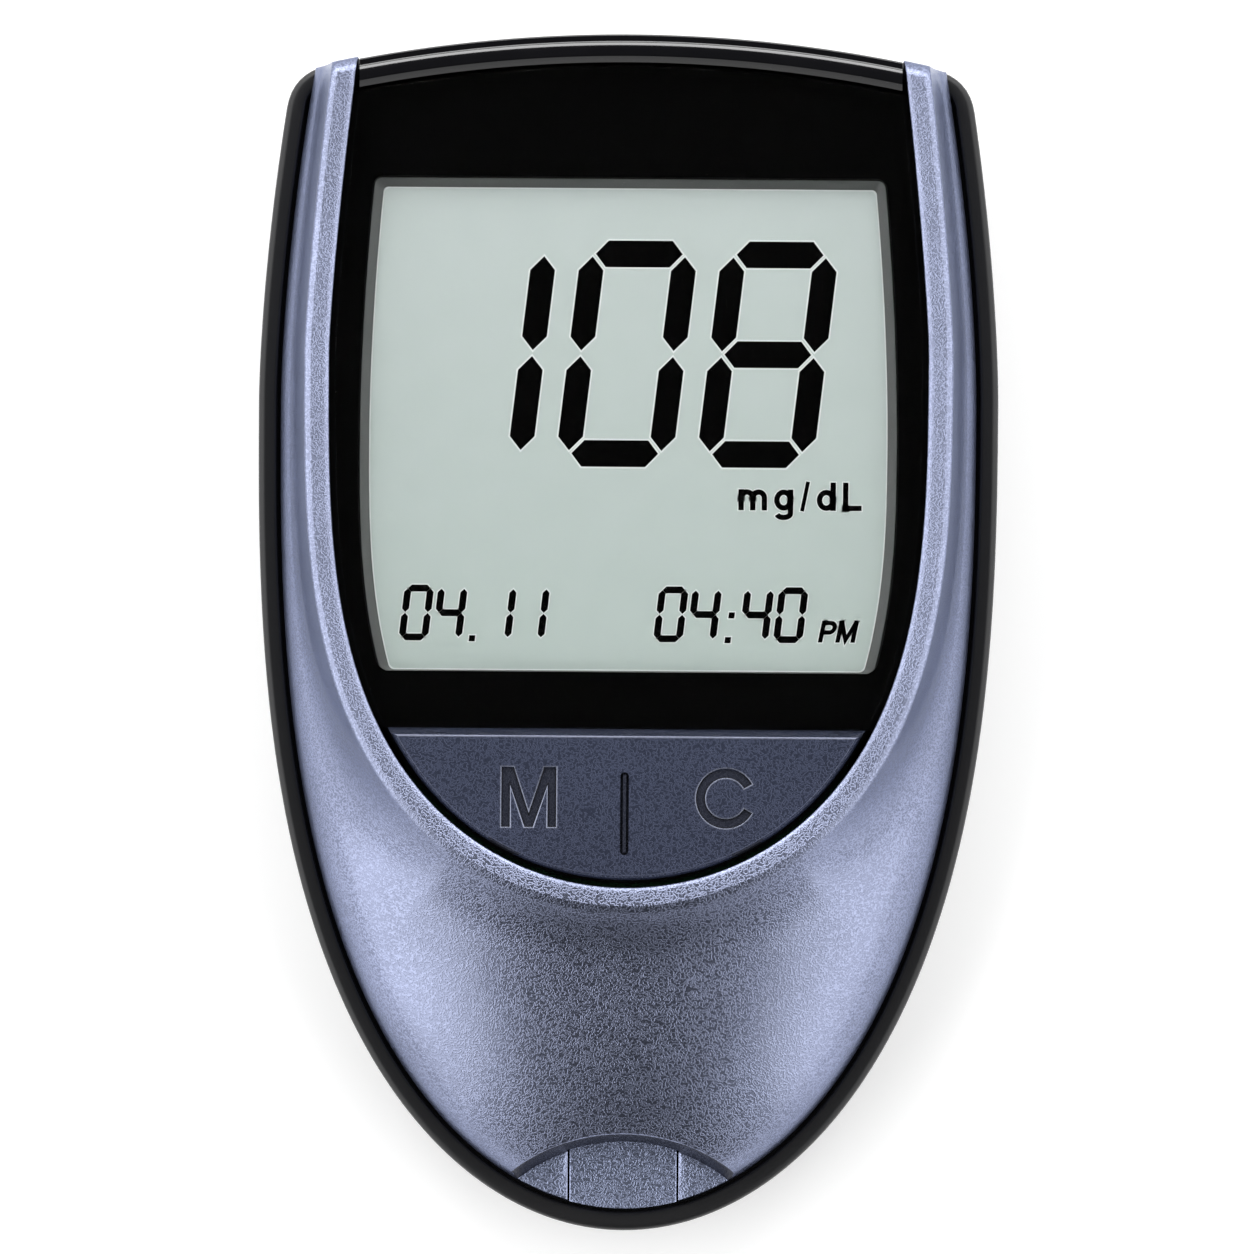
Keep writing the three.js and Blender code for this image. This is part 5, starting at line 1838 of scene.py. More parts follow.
@dataclass(frozen=True)
class Lettering:
    """Upright letters made of strokes, by their height and stroke width."""

    cap: float = 2.3
    stroke: float = 0.44
    small_share: float = 0.74
    hump_share: float = 0.204
    ring_share: float = 0.24
    ring_degrees: float = 330.0
    ring_steps: int = 28
    tail_degrees: float = -165.0
    bowl_degrees: float = 85.0
    slash_stroke_share: float = 0.72

    def strokes(self, letter: str) -> tuple[float, list[list[Flat]]]:
        """The width and the middle lines of one letter, with its places as shares of its height.

        Args:
            letter: One of the display's letters.

        Returns:
            The letter's width and its strokes.
        """
        cap, half = self.cap, self.stroke / 2
        low = self.small_share * cap
        hump = self.hump_share * cap
        left, middle, right = half, half + 2 * hump, half + 4 * hump
        if letter == "m":
            level = low - half - hump
            radii = (hump, hump)
            first = [(left, level - hump / 2), *bow((left + hump, level), radii, 180, 0), (middle, 0)]
            second = [(middle, level - hump / 2), *bow((middle + hump, level), radii, 180, 0), (right, 0)]
            return right + half, [[(left, 0), (left, low)], first, second]
        ring_x, ring_y = self.ring_share * cap, low / 2 - half
        side = half + 2 * ring_x
        ring = bow((half + ring_x, low / 2), (ring_x, ring_y), 0, self.ring_degrees, self.ring_steps)
        ring.append(ring[0])
        if letter == "g":
            under = (side - ring_x, -0.1 * cap)
            tail = [(side, low), *bow(under, (ring_x, 0.14 * cap), 0, self.tail_degrees)]
            return side + half, [ring, tail]
        if letter == "d":
            return side + half, [ring, [(side, 0), (side, cap)]]
        if letter == "/":
            return 0.33 * cap, [[(0.06 * cap, -0.02 * cap), (0.27 * cap, 1.02 * cap)]]
        if letter == "L":
            return 0.66 * cap, [[(half, 0), (half, cap)], [(0, half), (0.66 * cap, half)]]
        if letter == "P":
            bowl = [(half, cap - half), (0.3 * cap, cap - half),
                    *bow((0.42 * cap, 0.68 * cap), (0.22 * cap, 0.32 * cap - half), self.bowl_degrees,
                         -self.bowl_degrees),
                    (half, 0.36 * cap + half)]
            return 0.64 * cap + half, [[(half, 0), (half, cap)], bowl]
        far = 0.9 * cap
        slope = [(half, cap), (far / 2, 0.12 * cap), (far - half, cap)]
        return far, [[(half, 0), (half, cap)], [(far - half, 0), (far - half, cap)], slope]

    def shape(self, text: str, place: Flat, spacing: float, slant_share: float, levels: Flat,
              widen: float) -> list[Shape]:
        """A word's strokes as thin plates.

        Args:
            text: The word.
            place: The left end of its base line.
            spacing: The space between two letters.
            slant_share: How far a letter leans for its height.
            levels: The plates' lowest and highest level.
            widen: How far each stroke is grown all round.

        Returns:
            One plate for each stroke.
        """
        plates, x = [], place[0]
        for letter in text:
            width, lines = self.strokes(letter)
            stroke = self.stroke * (self.slash_stroke_share if letter == "/" else 1) + 2 * widen
            for line in lines:
                outline = [(x + px + slant_share * py, place[1] + py)
                           for px, py in ribbon(line, stroke, widen)]
                plates.append(prism(outline, *levels))
            x += width + spacing
        return plates


@dataclass(frozen=True)
class DisplayContent:
    """The reading, its unit, the date and the time, as thin dark bars on the display."""

    levels: Levels
    style: DigitStyle = DigitStyle()
    thin_style: DigitStyle = DigitStyle(upright_length=7.8, upright_width=2.3, upright_tip=1.15,
                                        bar_length=7.25, bar_width=2.3, bar_tip=1.05)
    reading: str = "108"
    reading_centre: Flat = (-0.16, 22.53)
    reading_pitch: float = 11.38
    small_size: float = 0.245
    small_y: float = 1.5
    date: tuple[tuple[str, float], ...] = (("0", -17.03), ("4", -14.31), ("1", -10.34), ("1", -7.66))
    time: tuple[tuple[str, float], ...] = (("0", 3.54), ("4", 6.24), ("4", 10.45), ("0", 13.23))
    unit_place: Flat = (8.93, 9.95)
    unit_spacing: float = 0.57
    half_day_place: Flat = (15.42, -0.69)
    half_day_slant: float = 0.2
    outline_width: float = 0.13
    thin_outline: float = 0.08
    film: float = 0.012
    film_gap: float = 0.002
    film_start: float = 0.004
    dot_half_width: float = 0.25
    dot_lean: float = 0.06
    dots: tuple[Flat, ...] = ((-12.55, -0.55), (8.42, 1.45), (8.12, -0.55))
    half_day_letters: Lettering = Lettering(cap=1.76, stroke=0.36)
    half_day_spacing: float = 0.1

    def digit_shapes(self) -> list[tuple[list[Flat], float]]:
        """Outlines of every bar, with the width of its light edge.

        Returns:
            Pairs of an outline and a width.
        """
        shapes = []
        for index, digit in enumerate(self.reading):
            centre = (self.reading_centre[0] + (index - 1) * self.reading_pitch, self.reading_centre[1])
            for part in DIGIT_BARS[digit]:
                shapes.append((self.style.slanted(self.style.bar(part), centre, 1.0), self.outline_width))
        for digit, x in (*self.date, *self.time):
            for part in DIGIT_BARS[digit]:
                bar = self.thin_style.bar(part)
                shapes.append((self.thin_style.slanted(bar, (x, self.small_y), self.small_size),
                               self.thin_outline))
        return shapes

    def dot_shapes(self) -> list[tuple[list[Flat], float]]:
        """The date's point and the time's colon.

        Returns:
            Pairs of an outline and the width of its light edge.
        """
        half, lean = self.dot_half_width, self.dot_lean
        shapes = []
        for x, y in self.dots:
            outline = [(x - half, y - half), (x + half, y - half), (x + half + lean, y + half),
                       (x - half + lean, y + half)]
            shapes.append((outline, self.thin_outline))
        return shapes

    def words(self, low: float, widen: float) -> list[Shape]:
        """The unit and the half of the day as thin plates.

        Args:
            low: The plates' lowest level.
            widen: How far each stroke is grown all round.

        Returns:
            One plate for each stroke.
        """
        levels = (low, low + self.film)
        plates = Lettering().shape("mg/dL", self.unit_place, self.unit_spacing, 0, levels, widen)
        return plates + self.half_day_letters.shape("PM", self.half_day_place, self.half_day_spacing,
                                                    self.half_day_slant, levels, widen)

    def build(self, ink: Material, edge: Material) -> list[Piece]:
        """Makes and dresses the display's content.

        Args:
            ink: The dark bars' finish.
            edge: The light edge round each bar.

        Returns:
            The bars, their light edges and the words.
        """
        low = self.levels.display + self.film_start
        high = low + self.film + self.film_gap
        outlines = (*self.digit_shapes(), *self.dot_shapes())
        borders = (prism(grown(outline, width), low, low + self.film) for outline, width in outlines)
        edges = gathered((*self.words(low, self.thin_outline), *borders))
        bars = gathered(prism(outline, high, low + 2 * self.film) for outline, _ in outlines)
        plates = self.words(high, 0.0)
        words = plates[0].build("display_words")
        for plate in plates[1:]:
            carve(words, plate, Operation.ADD)
        return [
            finished(edges.build("display_bar_edges"), "housing", [edge]),
            finished(bars.build("display_bars"), "housing", [ink]),
            finished(words, "housing", [ink]),
        ]


# Key


@dataclass(frozen=True)
class RockerKey:
    """The half-moon key with an M and a C pressed into it and a groove between them."""

    plan: Plan
    levels: Levels
    gap: float = 0.6
    top_y: float = -8.4
    bevel: float = 0.6
    bevel_depth: float = 1.2
    edge: float = 0.4
    letter_depth: float = 0.26
    letter_flare: float = 0.1
    flare_depth: float = 0.05
    wall_run: float = 0.09
    letter_size: Flat = (4.45, 4.85)
    left_centre: Flat = (-7.83, -13.33)
    right_centre: Flat = (8.08, -13.35)
    ring_width: float = 0.76
    groove_x: Flat = (-0.45, 0.25)
    groove_y: Flat = (-17.97, -11.27)
    groove_depth: float = 0.4
    groove_round_share: float = 0.999
    rib_half_width: float = 0.13
    plunger_x: float = 9.2
    plunger_y: float = -13.9
    plunger_radius: float = 1.3
    plunger_low: float = 15.4
    plunger_root: float = 0.4
    pivot_radius: float = 0.7
    pivot_z: float = 17.95
    pivot_inset: float = 0.8
    bar_sides: int = 24
    plunger_sides: int = 28
    m_shares: tuple[Flat, ...] = (
        (0, 0), (0.16, 0), (0.16, 0.7), (0.425, 0), (0.575, 0), (0.84, 0.7), (0.84, 0), (1, 0), (1, 1),
        (0.775, 1), (0.5, 0.24), (0.225, 1), (0, 1),
    )
    c_opening_degrees: float = 29.0
    c_steps: int = 56
    edge_steps: int = 16
    last_edge: Flat = (0.82, 0.06)
    back_edge: Flat = (0.98, 0.12)
    rib_end_share: float = 0.6
    rib_root: float = 0.2
    rib_gap: float = 0.12
    letter_x: Flat = (5.0, 11.0)
    mark_slack: float = 0.01
    mark_depths: Flat = (0.07, 0.45)
    flat_facing: float = 0.95
    edge_facing: float = 0.2

    def letter_m(self) -> list[Flat]:
        """Outline of the letter on the left.

        Returns:
            Points of the outline.
        """
        width, height = self.letter_size
        x, y = self.left_centre
        return [(x + (sx - 0.5) * width, y + (sy - 0.5) * height) for sx, sy in self.m_shares]

    def letter_c(self) -> list[Flat]:
        """Outline of the letter on the right: a ring that is open to the right.

        Returns:
            Points of the outline.
        """
        outer = self.letter_size[1] / 2
        x, y = self.right_centre
        half_opening = math.radians(self.c_opening_degrees)
        angles = np.linspace(half_opening, 2 * math.pi - half_opening, self.c_steps)
        far = [(x + outer * math.cos(a), y + outer * math.sin(a)) for a in angles]
        inner = outer - self.ring_width
        near = [(x + inner * math.cos(a), y + inner * math.sin(a)) for a in reversed(angles)]
        return [*far, *near]

    def blank(self) -> Shape:
        """The key's body, with a bevel along the lens and a rounded edge round the arc.

        Returns:
            The body.
        """
        low, top = self.levels.key_low, self.levels.key_top
        rings = [(0.0, low, 0.0), (0.0, top - self.bevel_depth, 0.0)]
        for i in range(1, self.edge_steps):
            share = i / self.edge_steps
            z = top - self.bevel_depth * (1 - share)
            over = max(0.0, (z - (top - self.edge)) / self.edge)
            rings.append((self.edge * (1 - math.sqrt(1 - over**2)), z, share * self.bevel))
        rings.append((self.edge * self.last_edge[0], top - self.last_edge[1], self.bevel * self.back_edge[0]))
        rings.append((self.edge, top, self.bevel + self.back_edge[1]))
        return loft([
            lifted(self.plan.half_moon(self.gap + inset, self.top_y + self.bevel - back), z)
            for inset, z, back in rings
        ])

    def build(self, paint: Material, recess_shade: Material, edge: Material, wall: Material) -> Piece:
        """Makes and dresses the key.

        Args:
            paint: The key's metallic paint.
            recess_shade: The darker paint in the letters and the groove, painted shade in those recesses.
            edge: The brighter paint along its sharp edges, a painted highlight.
            wall: The darkest paint on the letters' walls, painted shade.

        Returns:
            The key.
        """
        top = self.levels.key_top
        key = self.blank().build("rocker_key_cap")
        for letter in (self.letter_m(), self.letter_c()):
            flared, floor = grown(letter, self.letter_flare), grown(letter, -self.wall_run)
            carve(key, loft([lifted(floor, top - self.letter_depth), lifted(letter, top - self.flare_depth),
                             lifted(flared, top), lifted(flared, top + OVERRUN_MM / 2)]), Operation.CUT)
        radius = (self.groove_x[1] - self.groove_x[0]) / 2
        carve(key, prism(round_rectangle(self.groove_x, self.groove_y, radius * self.groove_round_share),
                         top - self.groove_depth, top + OVERRUN_MM / 2), Operation.CUT)
        middle, end = sum(self.groove_x) / 2, radius * self.rib_end_share
        rib = block((middle - self.rib_half_width, middle + self.rib_half_width),
                    (self.groove_y[0] + end, self.groove_y[1] - end),
                    (top - self.groove_depth - self.rib_root, top - self.rib_gap))
        bar = moved(round_bar((0, 0), (self.plan.opening_low_y + self.gap + self.pivot_inset, self.top_y),
                              (self.pivot_radius,) * 2, self.bar_sides),
                    Matrix(((1, 0, 0, 0), (0, 0, 1, 0), (0, -1, 0, self.pivot_z), (0, 0, 0, 1))))
        reach = (self.plunger_low, self.levels.key_low + self.plunger_root)
        plungers = (round_bar((x, self.plunger_y), reach, (self.plunger_radius,) * 2, self.plunger_sides)
                    for x in (-self.plunger_x, self.plunger_x))
        carve(key, gathered((rib, bar, *plungers)), Operation.ADD)
        self.mark_faces(key)
        return finished(key, "key", [paint, recess_shade, edge, wall], ["rocker_key"])

    def mark_faces(self, key: Piece) -> None:
        """Gives recessed floors the second material and letters' walls the fourth, as painted shade, and
        sharp edges the third, as painted highlight.

        Args:
            key: The key, still in millimetres.
        """
        top, slack = self.levels.key_top, self.mark_slack
        edge_depth, recess_depth = self.mark_depths
        for face in key.data.polygons:
            x, y, z = face.center
            flat = face.normal.z > self.flat_facing
            in_letters = self.letter_x[0] < abs(x) < self.letter_x[1]
            in_groove = self.groove_x[0] - slack < x < self.groove_x[1] + slack
            inside = self.groove_y[0] - slack < y < self.groove_y[1] + slack
            sunk = top - recess_depth < z < top - self.flare_depth - slack
            # Painted shade on the recessed floors, the groove and the letters' walls.
            if inside and (in_letters or in_groove) and sunk:
                face.material_index = 1 if flat or in_groove else 3
            # Painted highlight on the sharp edges near the top.
            elif top - edge_depth < z and face.normal.z > self.edge_facing and not flat:
                face.material_index = 2


@dataclass(frozen=True)
class SnapDomes:
    """The two steel domes on the board, one under each of the key's plungers."""

    rim: float = 0.06
    crown_share: float = 0.06
    ring_count: int = 10
    sides: int = 40
    seat_gap: float = 0.05
    pressed_share: float = 0.3

    def shape(self, low: Vector, high: Vector) -> Shape:
        """One dome, which rises from its thin rim to its crown.

        Args:
            low: The lowest corner of its place.
            high: The highest corner of its place.

        Returns:
            The dome.
        """
        middle, radius = (low + high) / 2, (high.x - low.x) / 2
        rise = high.z - low.z - self.rim
        profile: list[Flat] = [(radius, low.z)]
        for i in range(self.ring_count + 1):
            share = 1 - (1 - self.crown_share) * i / self.ring_count
            profile.append((radius * share, low.z + self.rim + rise * (1 - share**2)))
        return moved(lathe(profile, self.sides), Matrix.Translation((middle.x, middle.y, 0)))

    def build(self, steel: Material) -> list[Piece]:
        """Makes and dresses both domes.

        Args:
            steel: The domes' steel.

        Returns:
            Both domes.
        """
        made = []
        for name in ("dome_left", "dome_right"):
            low, high = corners_mm(name)
            dome = finished(self.shape(low, high).build(f"{name}_disc"), "housing", [steel], [name])
            made.append(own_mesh(dome))
        return made


# Back


@dataclass(frozen=True)
class BatteryDoor:
    """The door in the back, with a ribbed grip, hooks and eased edges."""

    case: RearCase
    edge: float = 0.22
    edge_share: float = 0.3
    grip_width: float = 10.0
    grip_length: float = 4.4
    grip_depth: float = 0.5
    rib_count: int = 5
    rib_half_width: float = 0.17
    rib_corner: float = 0.16
    rib_top: float = 0.12
    rib_root: float = 0.2
    rib_inset: float = 1.3
    rib_step: float = 0.5
    hook_root: float = 1.4
    hook_inset: float = 0.05
    inner_edge: float = 0.1
    arrow_gap: float = 2.2
    arrow_half_width: float = 1.6
    arrow_length: float = 2.4
    arrow_depth: float = 0.25

    def build(self, plastic: Material) -> Piece:
        """Makes and dresses the door.

        Args:
            plastic: The satin black plastic.

        Returns:
            The door.
        """
        case = self.case
        half, low_y, high_y = case.door_half_width, case.door_low_y, case.door_high_y
        thick = case.levels.door_top
        rings = []
        corner = self.edge * self.edge_share
        for inset, z in ((self.edge, 0), (corner, corner), (0, self.edge), (0, thick - self.inner_edge),
                         (self.inner_edge, thick)):
            outline = round_rectangle((-half + inset, half - inset), (low_y + inset, high_y - inset),
                                      case.door_corner - inset)
            rings.append(lifted(outline, z))
        door = loft(rings).build("battery_door_panel")
        hooks = []
        hook_low = case.door_seat + case.plan.fit_gap
        hook_high, root_y = hook_low + case.hook_thickness, high_y - self.hook_root
        for x in (-case.hook_x, case.hook_x):
            limits = (x - case.hook_half_width, x + case.hook_half_width)
            hooks.append(block(limits, (root_y, high_y - self.hook_inset), (thick / 2, hook_high)))
            hooks.append(block(limits, (root_y, high_y + case.hook_reach), (hook_low, hook_high)))
        carve(door, gathered(hooks), Operation.ADD)
        grip_low = low_y + case.door_corner
        half_grip = self.grip_width / 2
        dish = round_rectangle((-half_grip, half_grip), (grip_low, grip_low + self.grip_length),
                               self.grip_length / 3)
        carve(door, prism(dish, -OVERRUN_MM, self.grip_depth), Operation.CUT)
        ribs = []
        pitch = self.grip_length / (self.rib_count + 1)
        for i in range(self.rib_count):
            y = grip_low + pitch * (i + 1)
            reach = half_grip - self.rib_inset - self.rib_step * abs(i - self.rib_count // 2)
            outline = round_rectangle((-reach, reach), (y - self.rib_half_width, y + self.rib_half_width),
                                      self.rib_corner, 4)
            ribs.append(prism(outline, self.rib_top, self.grip_depth + self.rib_root))
        carve(door, gathered(ribs), Operation.ADD)
        arrow_y, arrow_half = grip_low + self.grip_length + self.arrow_gap, self.arrow_half_width
        arrow = [(-arrow_half, arrow_y), (arrow_half, arrow_y), (0, arrow_y + self.arrow_length)]
        carve(door, prism(arrow, -OVERRUN_MM, self.arrow_depth), Operation.CUT)
        return finished(door, "door", [plastic], ["battery_door"])


@dataclass(frozen=True)
class CaseScrews:
    """Four pan-head screws with cross recesses, sunk into the back."""

    case: RearCase
    head_height: float = 1.2
    length: float = 11.0
    cross_length: float = 2.1
    cross_width: float = 0.42
    cross_depth: float = 0.75
    crown_share: float = 0.55
    edge: float = 0.06
    thread_start: float = 0.5
    thread_pitch: float = 0.8
    thread_share: float = 0.82
    tip: Flat = (0.2, 0.3)
    tip_share: float = 0.7
    centre_radius: float = 0.05
    crown_steps: int = 6
    sides: int = 36
    unthreaded: float = 1.6
    narrowing_shares: Flat = (0.55, 0.8)

    def one(self, index: int, place: Flat) -> Piece:
        """Makes one screw.

        Args:
            index: The screw's number, from 1.
            place: Its place in plan.

        Returns:
            The screw, in millimetres.
        """
        case = self.case
        seat = case.head_seat
        low = seat - self.head_height
        profile: list[Flat] = [(self.centre_radius, low)]
        for i in range(1, self.crown_steps + 1):
            angle = math.pi / 2 * i / self.crown_steps
            profile.append((case.head_radius * math.sin(angle),
                            low + self.head_height * self.crown_share * (1 - math.cos(angle))))
        profile += [(case.head_radius, seat - self.edge), (case.head_radius - self.edge, seat),
                    (case.shaft_radius, seat)]
        for i in range(int((self.length - self.unthreaded) / self.thread_pitch)):
            z = seat + self.thread_start + self.thread_pitch * i
            profile.append((case.shaft_radius, z))
            profile.append((case.shaft_radius * self.thread_share, z + self.thread_pitch / 2))
        tip_radius, tip_length = self.tip
        profile.append((case.shaft_radius * self.tip_share, seat + self.length - tip_length))
        profile.append((tip_radius, seat + self.length))
        turned = moved(lathe(profile, self.sides), Matrix.Translation((*place, 0)))
        screw = turned.build(f"case_screw_head_{index}")
        long, wide = self.cross_length / 2, self.cross_width / 2
        x, y = place
        cross = []
        share_x, share_y = self.narrowing_shares
        for dx, dy in ((long, wide), (wide, long)):
            mouth = [(x - dx, y - dy), (x + dx, y - dy), (x + dx, y + dy), (x - dx, y + dy)]
            floor = [(x + (px - x) * share_x, y + (py - y) * share_y) for px, py in mouth]
            cross.append(loft([lifted(mouth, low - OVERRUN_MM / 4), lifted(mouth, low),
                               lifted(floor, low + self.cross_depth)]))
        carve(screw, gathered(cross), Operation.CUT)
        return screw

    def build(self, steel: Material) -> list[Piece]:
        """Makes and dresses the screws.

        Args:
            steel: The screws' steel.

        Returns:
            The four screws.
        """
        return [
            finished(self.one(i + 1, place), "housing", [steel], [f"case_screw_{i + 1}"])
            for i, place in enumerate(self.case.case_screws)
        ]


@dataclass(frozen=True)
class Cells:
    """Two round cells with printed sleeves, nubs and crimped ends.

    flat_end holds distances in from the side and up from the flat end, shoulder distances in from the side
    and down from the can's top, and crimp distances out from the nub and up from the can's top.
    """

    radius: float = 5.25
    length: float = 44.5
    nub_radius: float = 1.9
    nub_length: float = 1.0
    nub_edge: float = 0.25
    centre_radius: float = 0.1
    flat_end: tuple[Flat, ...] = ((1.5, 0.15), (1.2, 0.0), (0.45, 0.0), (0.12, 0.12))
    shoulder: tuple[Flat, ...] = ((0.0, 0.6), (0.15, 0.15), (0.5, 0.0))
    crimp: tuple[Flat, ...] = ((0.5, -0.12), (0.1, -0.05), (0.0, 0.2))
    centre_x: float = 5.65
    centre_z: float = 6.95
    sleeve_start: float = 0.5
    end_inset: float = 0.4
    sides: int = 64

    def profile(self) -> list[Flat]:
        """Radius and distance along the cell of each ring.

        Returns:
            The rings, from the flat end to the nub.
        """
        can = self.length - self.nub_length
        rings = [(self.centre_radius, self.flat_end[0][1])]
        rings += [(self.radius - inset, rise) for inset, rise in self.flat_end]
        rings.append((self.radius, self.sleeve_start))
        rings += [(self.radius - inset, can - drop) for inset, drop in self.shoulder]
        rings += [(self.nub_radius + out, can + rise) for out, rise in self.crimp]
        rings.append((self.nub_radius, self.length - self.nub_edge))
        rings.append((self.nub_radius - self.nub_edge, self.length))
        return [*rings, (self.centre_radius, self.length)]

    def build(self, sleeves: Sequence[Material], can: Material) -> list[Piece]:
        """Makes and dresses both cells.

        Args:
            sleeves: The left and the right cell's sleeve.
            can: The bare metal of the ends.

        Returns:
            Both cells.
        """
        made = []
        for name, sign, sleeve in (("battery_left", -1, sleeves[0]), ("battery_right", 1, sleeves[1])):
            low, high = corners_mm(name)
            flat_end_y = low.y if sign < 0 else high.y
            turn = Matrix(((1, 0, 0, sign * self.centre_x), (0, 0, -sign, flat_end_y),
                           (0, sign, 0, self.centre_z), (0, 0, 0, 1)))
            cell = moved(lathe(self.profile(), self.sides), turn).build(f"{name}_cell")
            for face in cell.data.polygons:
                reach = math.hypot(face.center.x - sign * self.centre_x, face.center.z - self.centre_z)
                face.material_index = int(reach < self.radius - self.end_inset)
            made.append(finished(cell, "housing", [sleeve, can], [name]))
        return made


# Stage


@dataclass(frozen=True)
class Softbox:
    """One large soft lamp, by its place in metres and its turns in degrees."""

    name: str
    place: Point
    turns: Point
    size: Flat
    watts: float

    def build(self) -> Piece:
        """Hangs the lamp.

        Returns:
            The lamp.
        """
        lamp = bpy.data.lights.new(self.name, "AREA")
        lamp.shape = "RECTANGLE"
        lamp.size, lamp.size_y = self.size
        lamp.energy = self.watts
        hung = bpy.data.objects.new(self.name, lamp)
        hung.location = self.place
        hung.rotation_euler = [math.radians(turn) for turn in self.turns]
        bpy.context.scene.collection.objects.link(hung)
        return hung


@dataclass(frozen=True)
class Studio:
    """Pale floor, soft lamps and the camera over the part."""

    floor_half: float = 3.0
    floor_level_mm: float = -0.05
    floor_colour: Colour = (0.9, 0.9, 0.9)
    floor_roughness: float = 0.9
    horizon: float = 0.6
    zenith: float = 0.012
    dusk: Flat = (0.0, 0.4)
    near_band: Flat = (-0.8, 0.6)
    near_share: float = 0.95
    seen_lift: float = 0.21
    glossy_lift: float = 0.46
    focal_mm: float = 800.0
    sensor_mm: float = 36.0
    view_mm: float = 101.79
    view_level_mm: float = 8.0
    aim_y_mm: float = 0.45
    turn_degrees: float = 0.42
    clip: Flat = (0.01, 20.0)
    lamps: tuple[Softbox, ...] = (
        Softbox("lamp_left", (-0.75, 0.4, 0.8), (90, 0, -90), (2.5, 1.4), 29.0),
        Softbox("lamp_right", (0.75, 0.4, 0.8), (90, 0, 90), (2.5, 1.4), 25.5),
        Softbox("lamp_top", (0.0, 1.0, 0.7), (90, 0, 180), (1.6, 0.9), 18.0),
    )

    def floor_material(self) -> Material:
        """A pale matte floor that looks white and keeps the part's shadow.

        Returns:
            The new material.
        """
        shading = Shading("pale_floor", Base_Color=self.floor_colour, Roughness=self.floor_roughness,
                          Emission_Color=(1, 1, 1))
        rays = shading.node("LightPath").outputs
        glossy = shading.result("MULTIPLY", rays["Is Glossy Ray"], self.glossy_lift)
        lift = shading.result("MULTIPLY_ADD", rays["Is Camera Ray"], self.seen_lift, glossy)
        shading.feed("Emission Strength", lift)
        return shading.material

    def build_floor(self) -> Piece:
        """Lays the floor just under the part.

        Returns:
            The floor.
        """
        half = self.floor_half
        mesh = bpy.data.meshes.new("floor")
        level = self.floor_level_mm * MM
        mesh.from_pydata([(-half, -half, level), (half, -half, level), (half, half, level),
                          (-half, half, level)], [], [(0, 1, 2, 3)])
        mesh.materials.append(self.floor_material())
        floor = bpy.data.objects.new("floor", mesh)
        bpy.context.scene.collection.objects.link(floor)
        return floor

    def build_world(self) -> None:
        """Even light from all round, with a white backdrop."""
        world = bpy.data.worlds.new("studio")
        bpy.context.scene.world = world
        world.use_nodes = True
        light = NodeTree(world.node_tree)
        back = light.tree.nodes["Background"]
        back.inputs["Color"].default_value = (1, 1, 1, 1)
        sight = light.node("TexCoord").outputs["Generated"]
        upwards = light.stretch(light.along(sight, "Z"), self.dusk, (self.horizon, self.zenith))
        lengthways = light.stretch(light.along(sight, "Y"), self.near_band, (self.near_share, 1.0))
        level = light.node("Mix", B=1.0)
        light.link(light.result("MULTIPLY", upwards, lengthways), level.inputs["A"])
        light.link(light.node("LightPath").outputs["Is Camera Ray"], level.inputs["Factor"])
        light.link(level.outputs["Result"], back.inputs["Strength"])

    def build_camera(self) -> Piece:
        """Hangs the camera straight over the part, a touch turned.

        Returns:
            The camera.
        """
        camera = bpy.data.cameras.new("camera")
        camera.lens = self.focal_mm
        camera.sensor_width = self.sensor_mm
        distance = self.view_mm * self.focal_mm / self.sensor_mm * MM
        camera.clip_start, camera.clip_end = self.clip
        hung = bpy.data.objects.new("camera", camera)
        hung.location = (0.0, self.aim_y_mm * MM, distance + self.view_level_mm * MM)
        hung.rotation_euler = (0.0, 0.0, math.radians(self.turn_degrees))
        bpy.context.scene.collection.objects.link(hung)
        bpy.context.scene.camera = hung
        return hung

    def build(self) -> None:
        """Sets the whole stage."""
        self.build_floor()
        self.build_world()
        for lamp in self.lamps:
            lamp.build()
        self.build_camera()
        bpy.context.scene.view_settings.view_transform = "Standard"


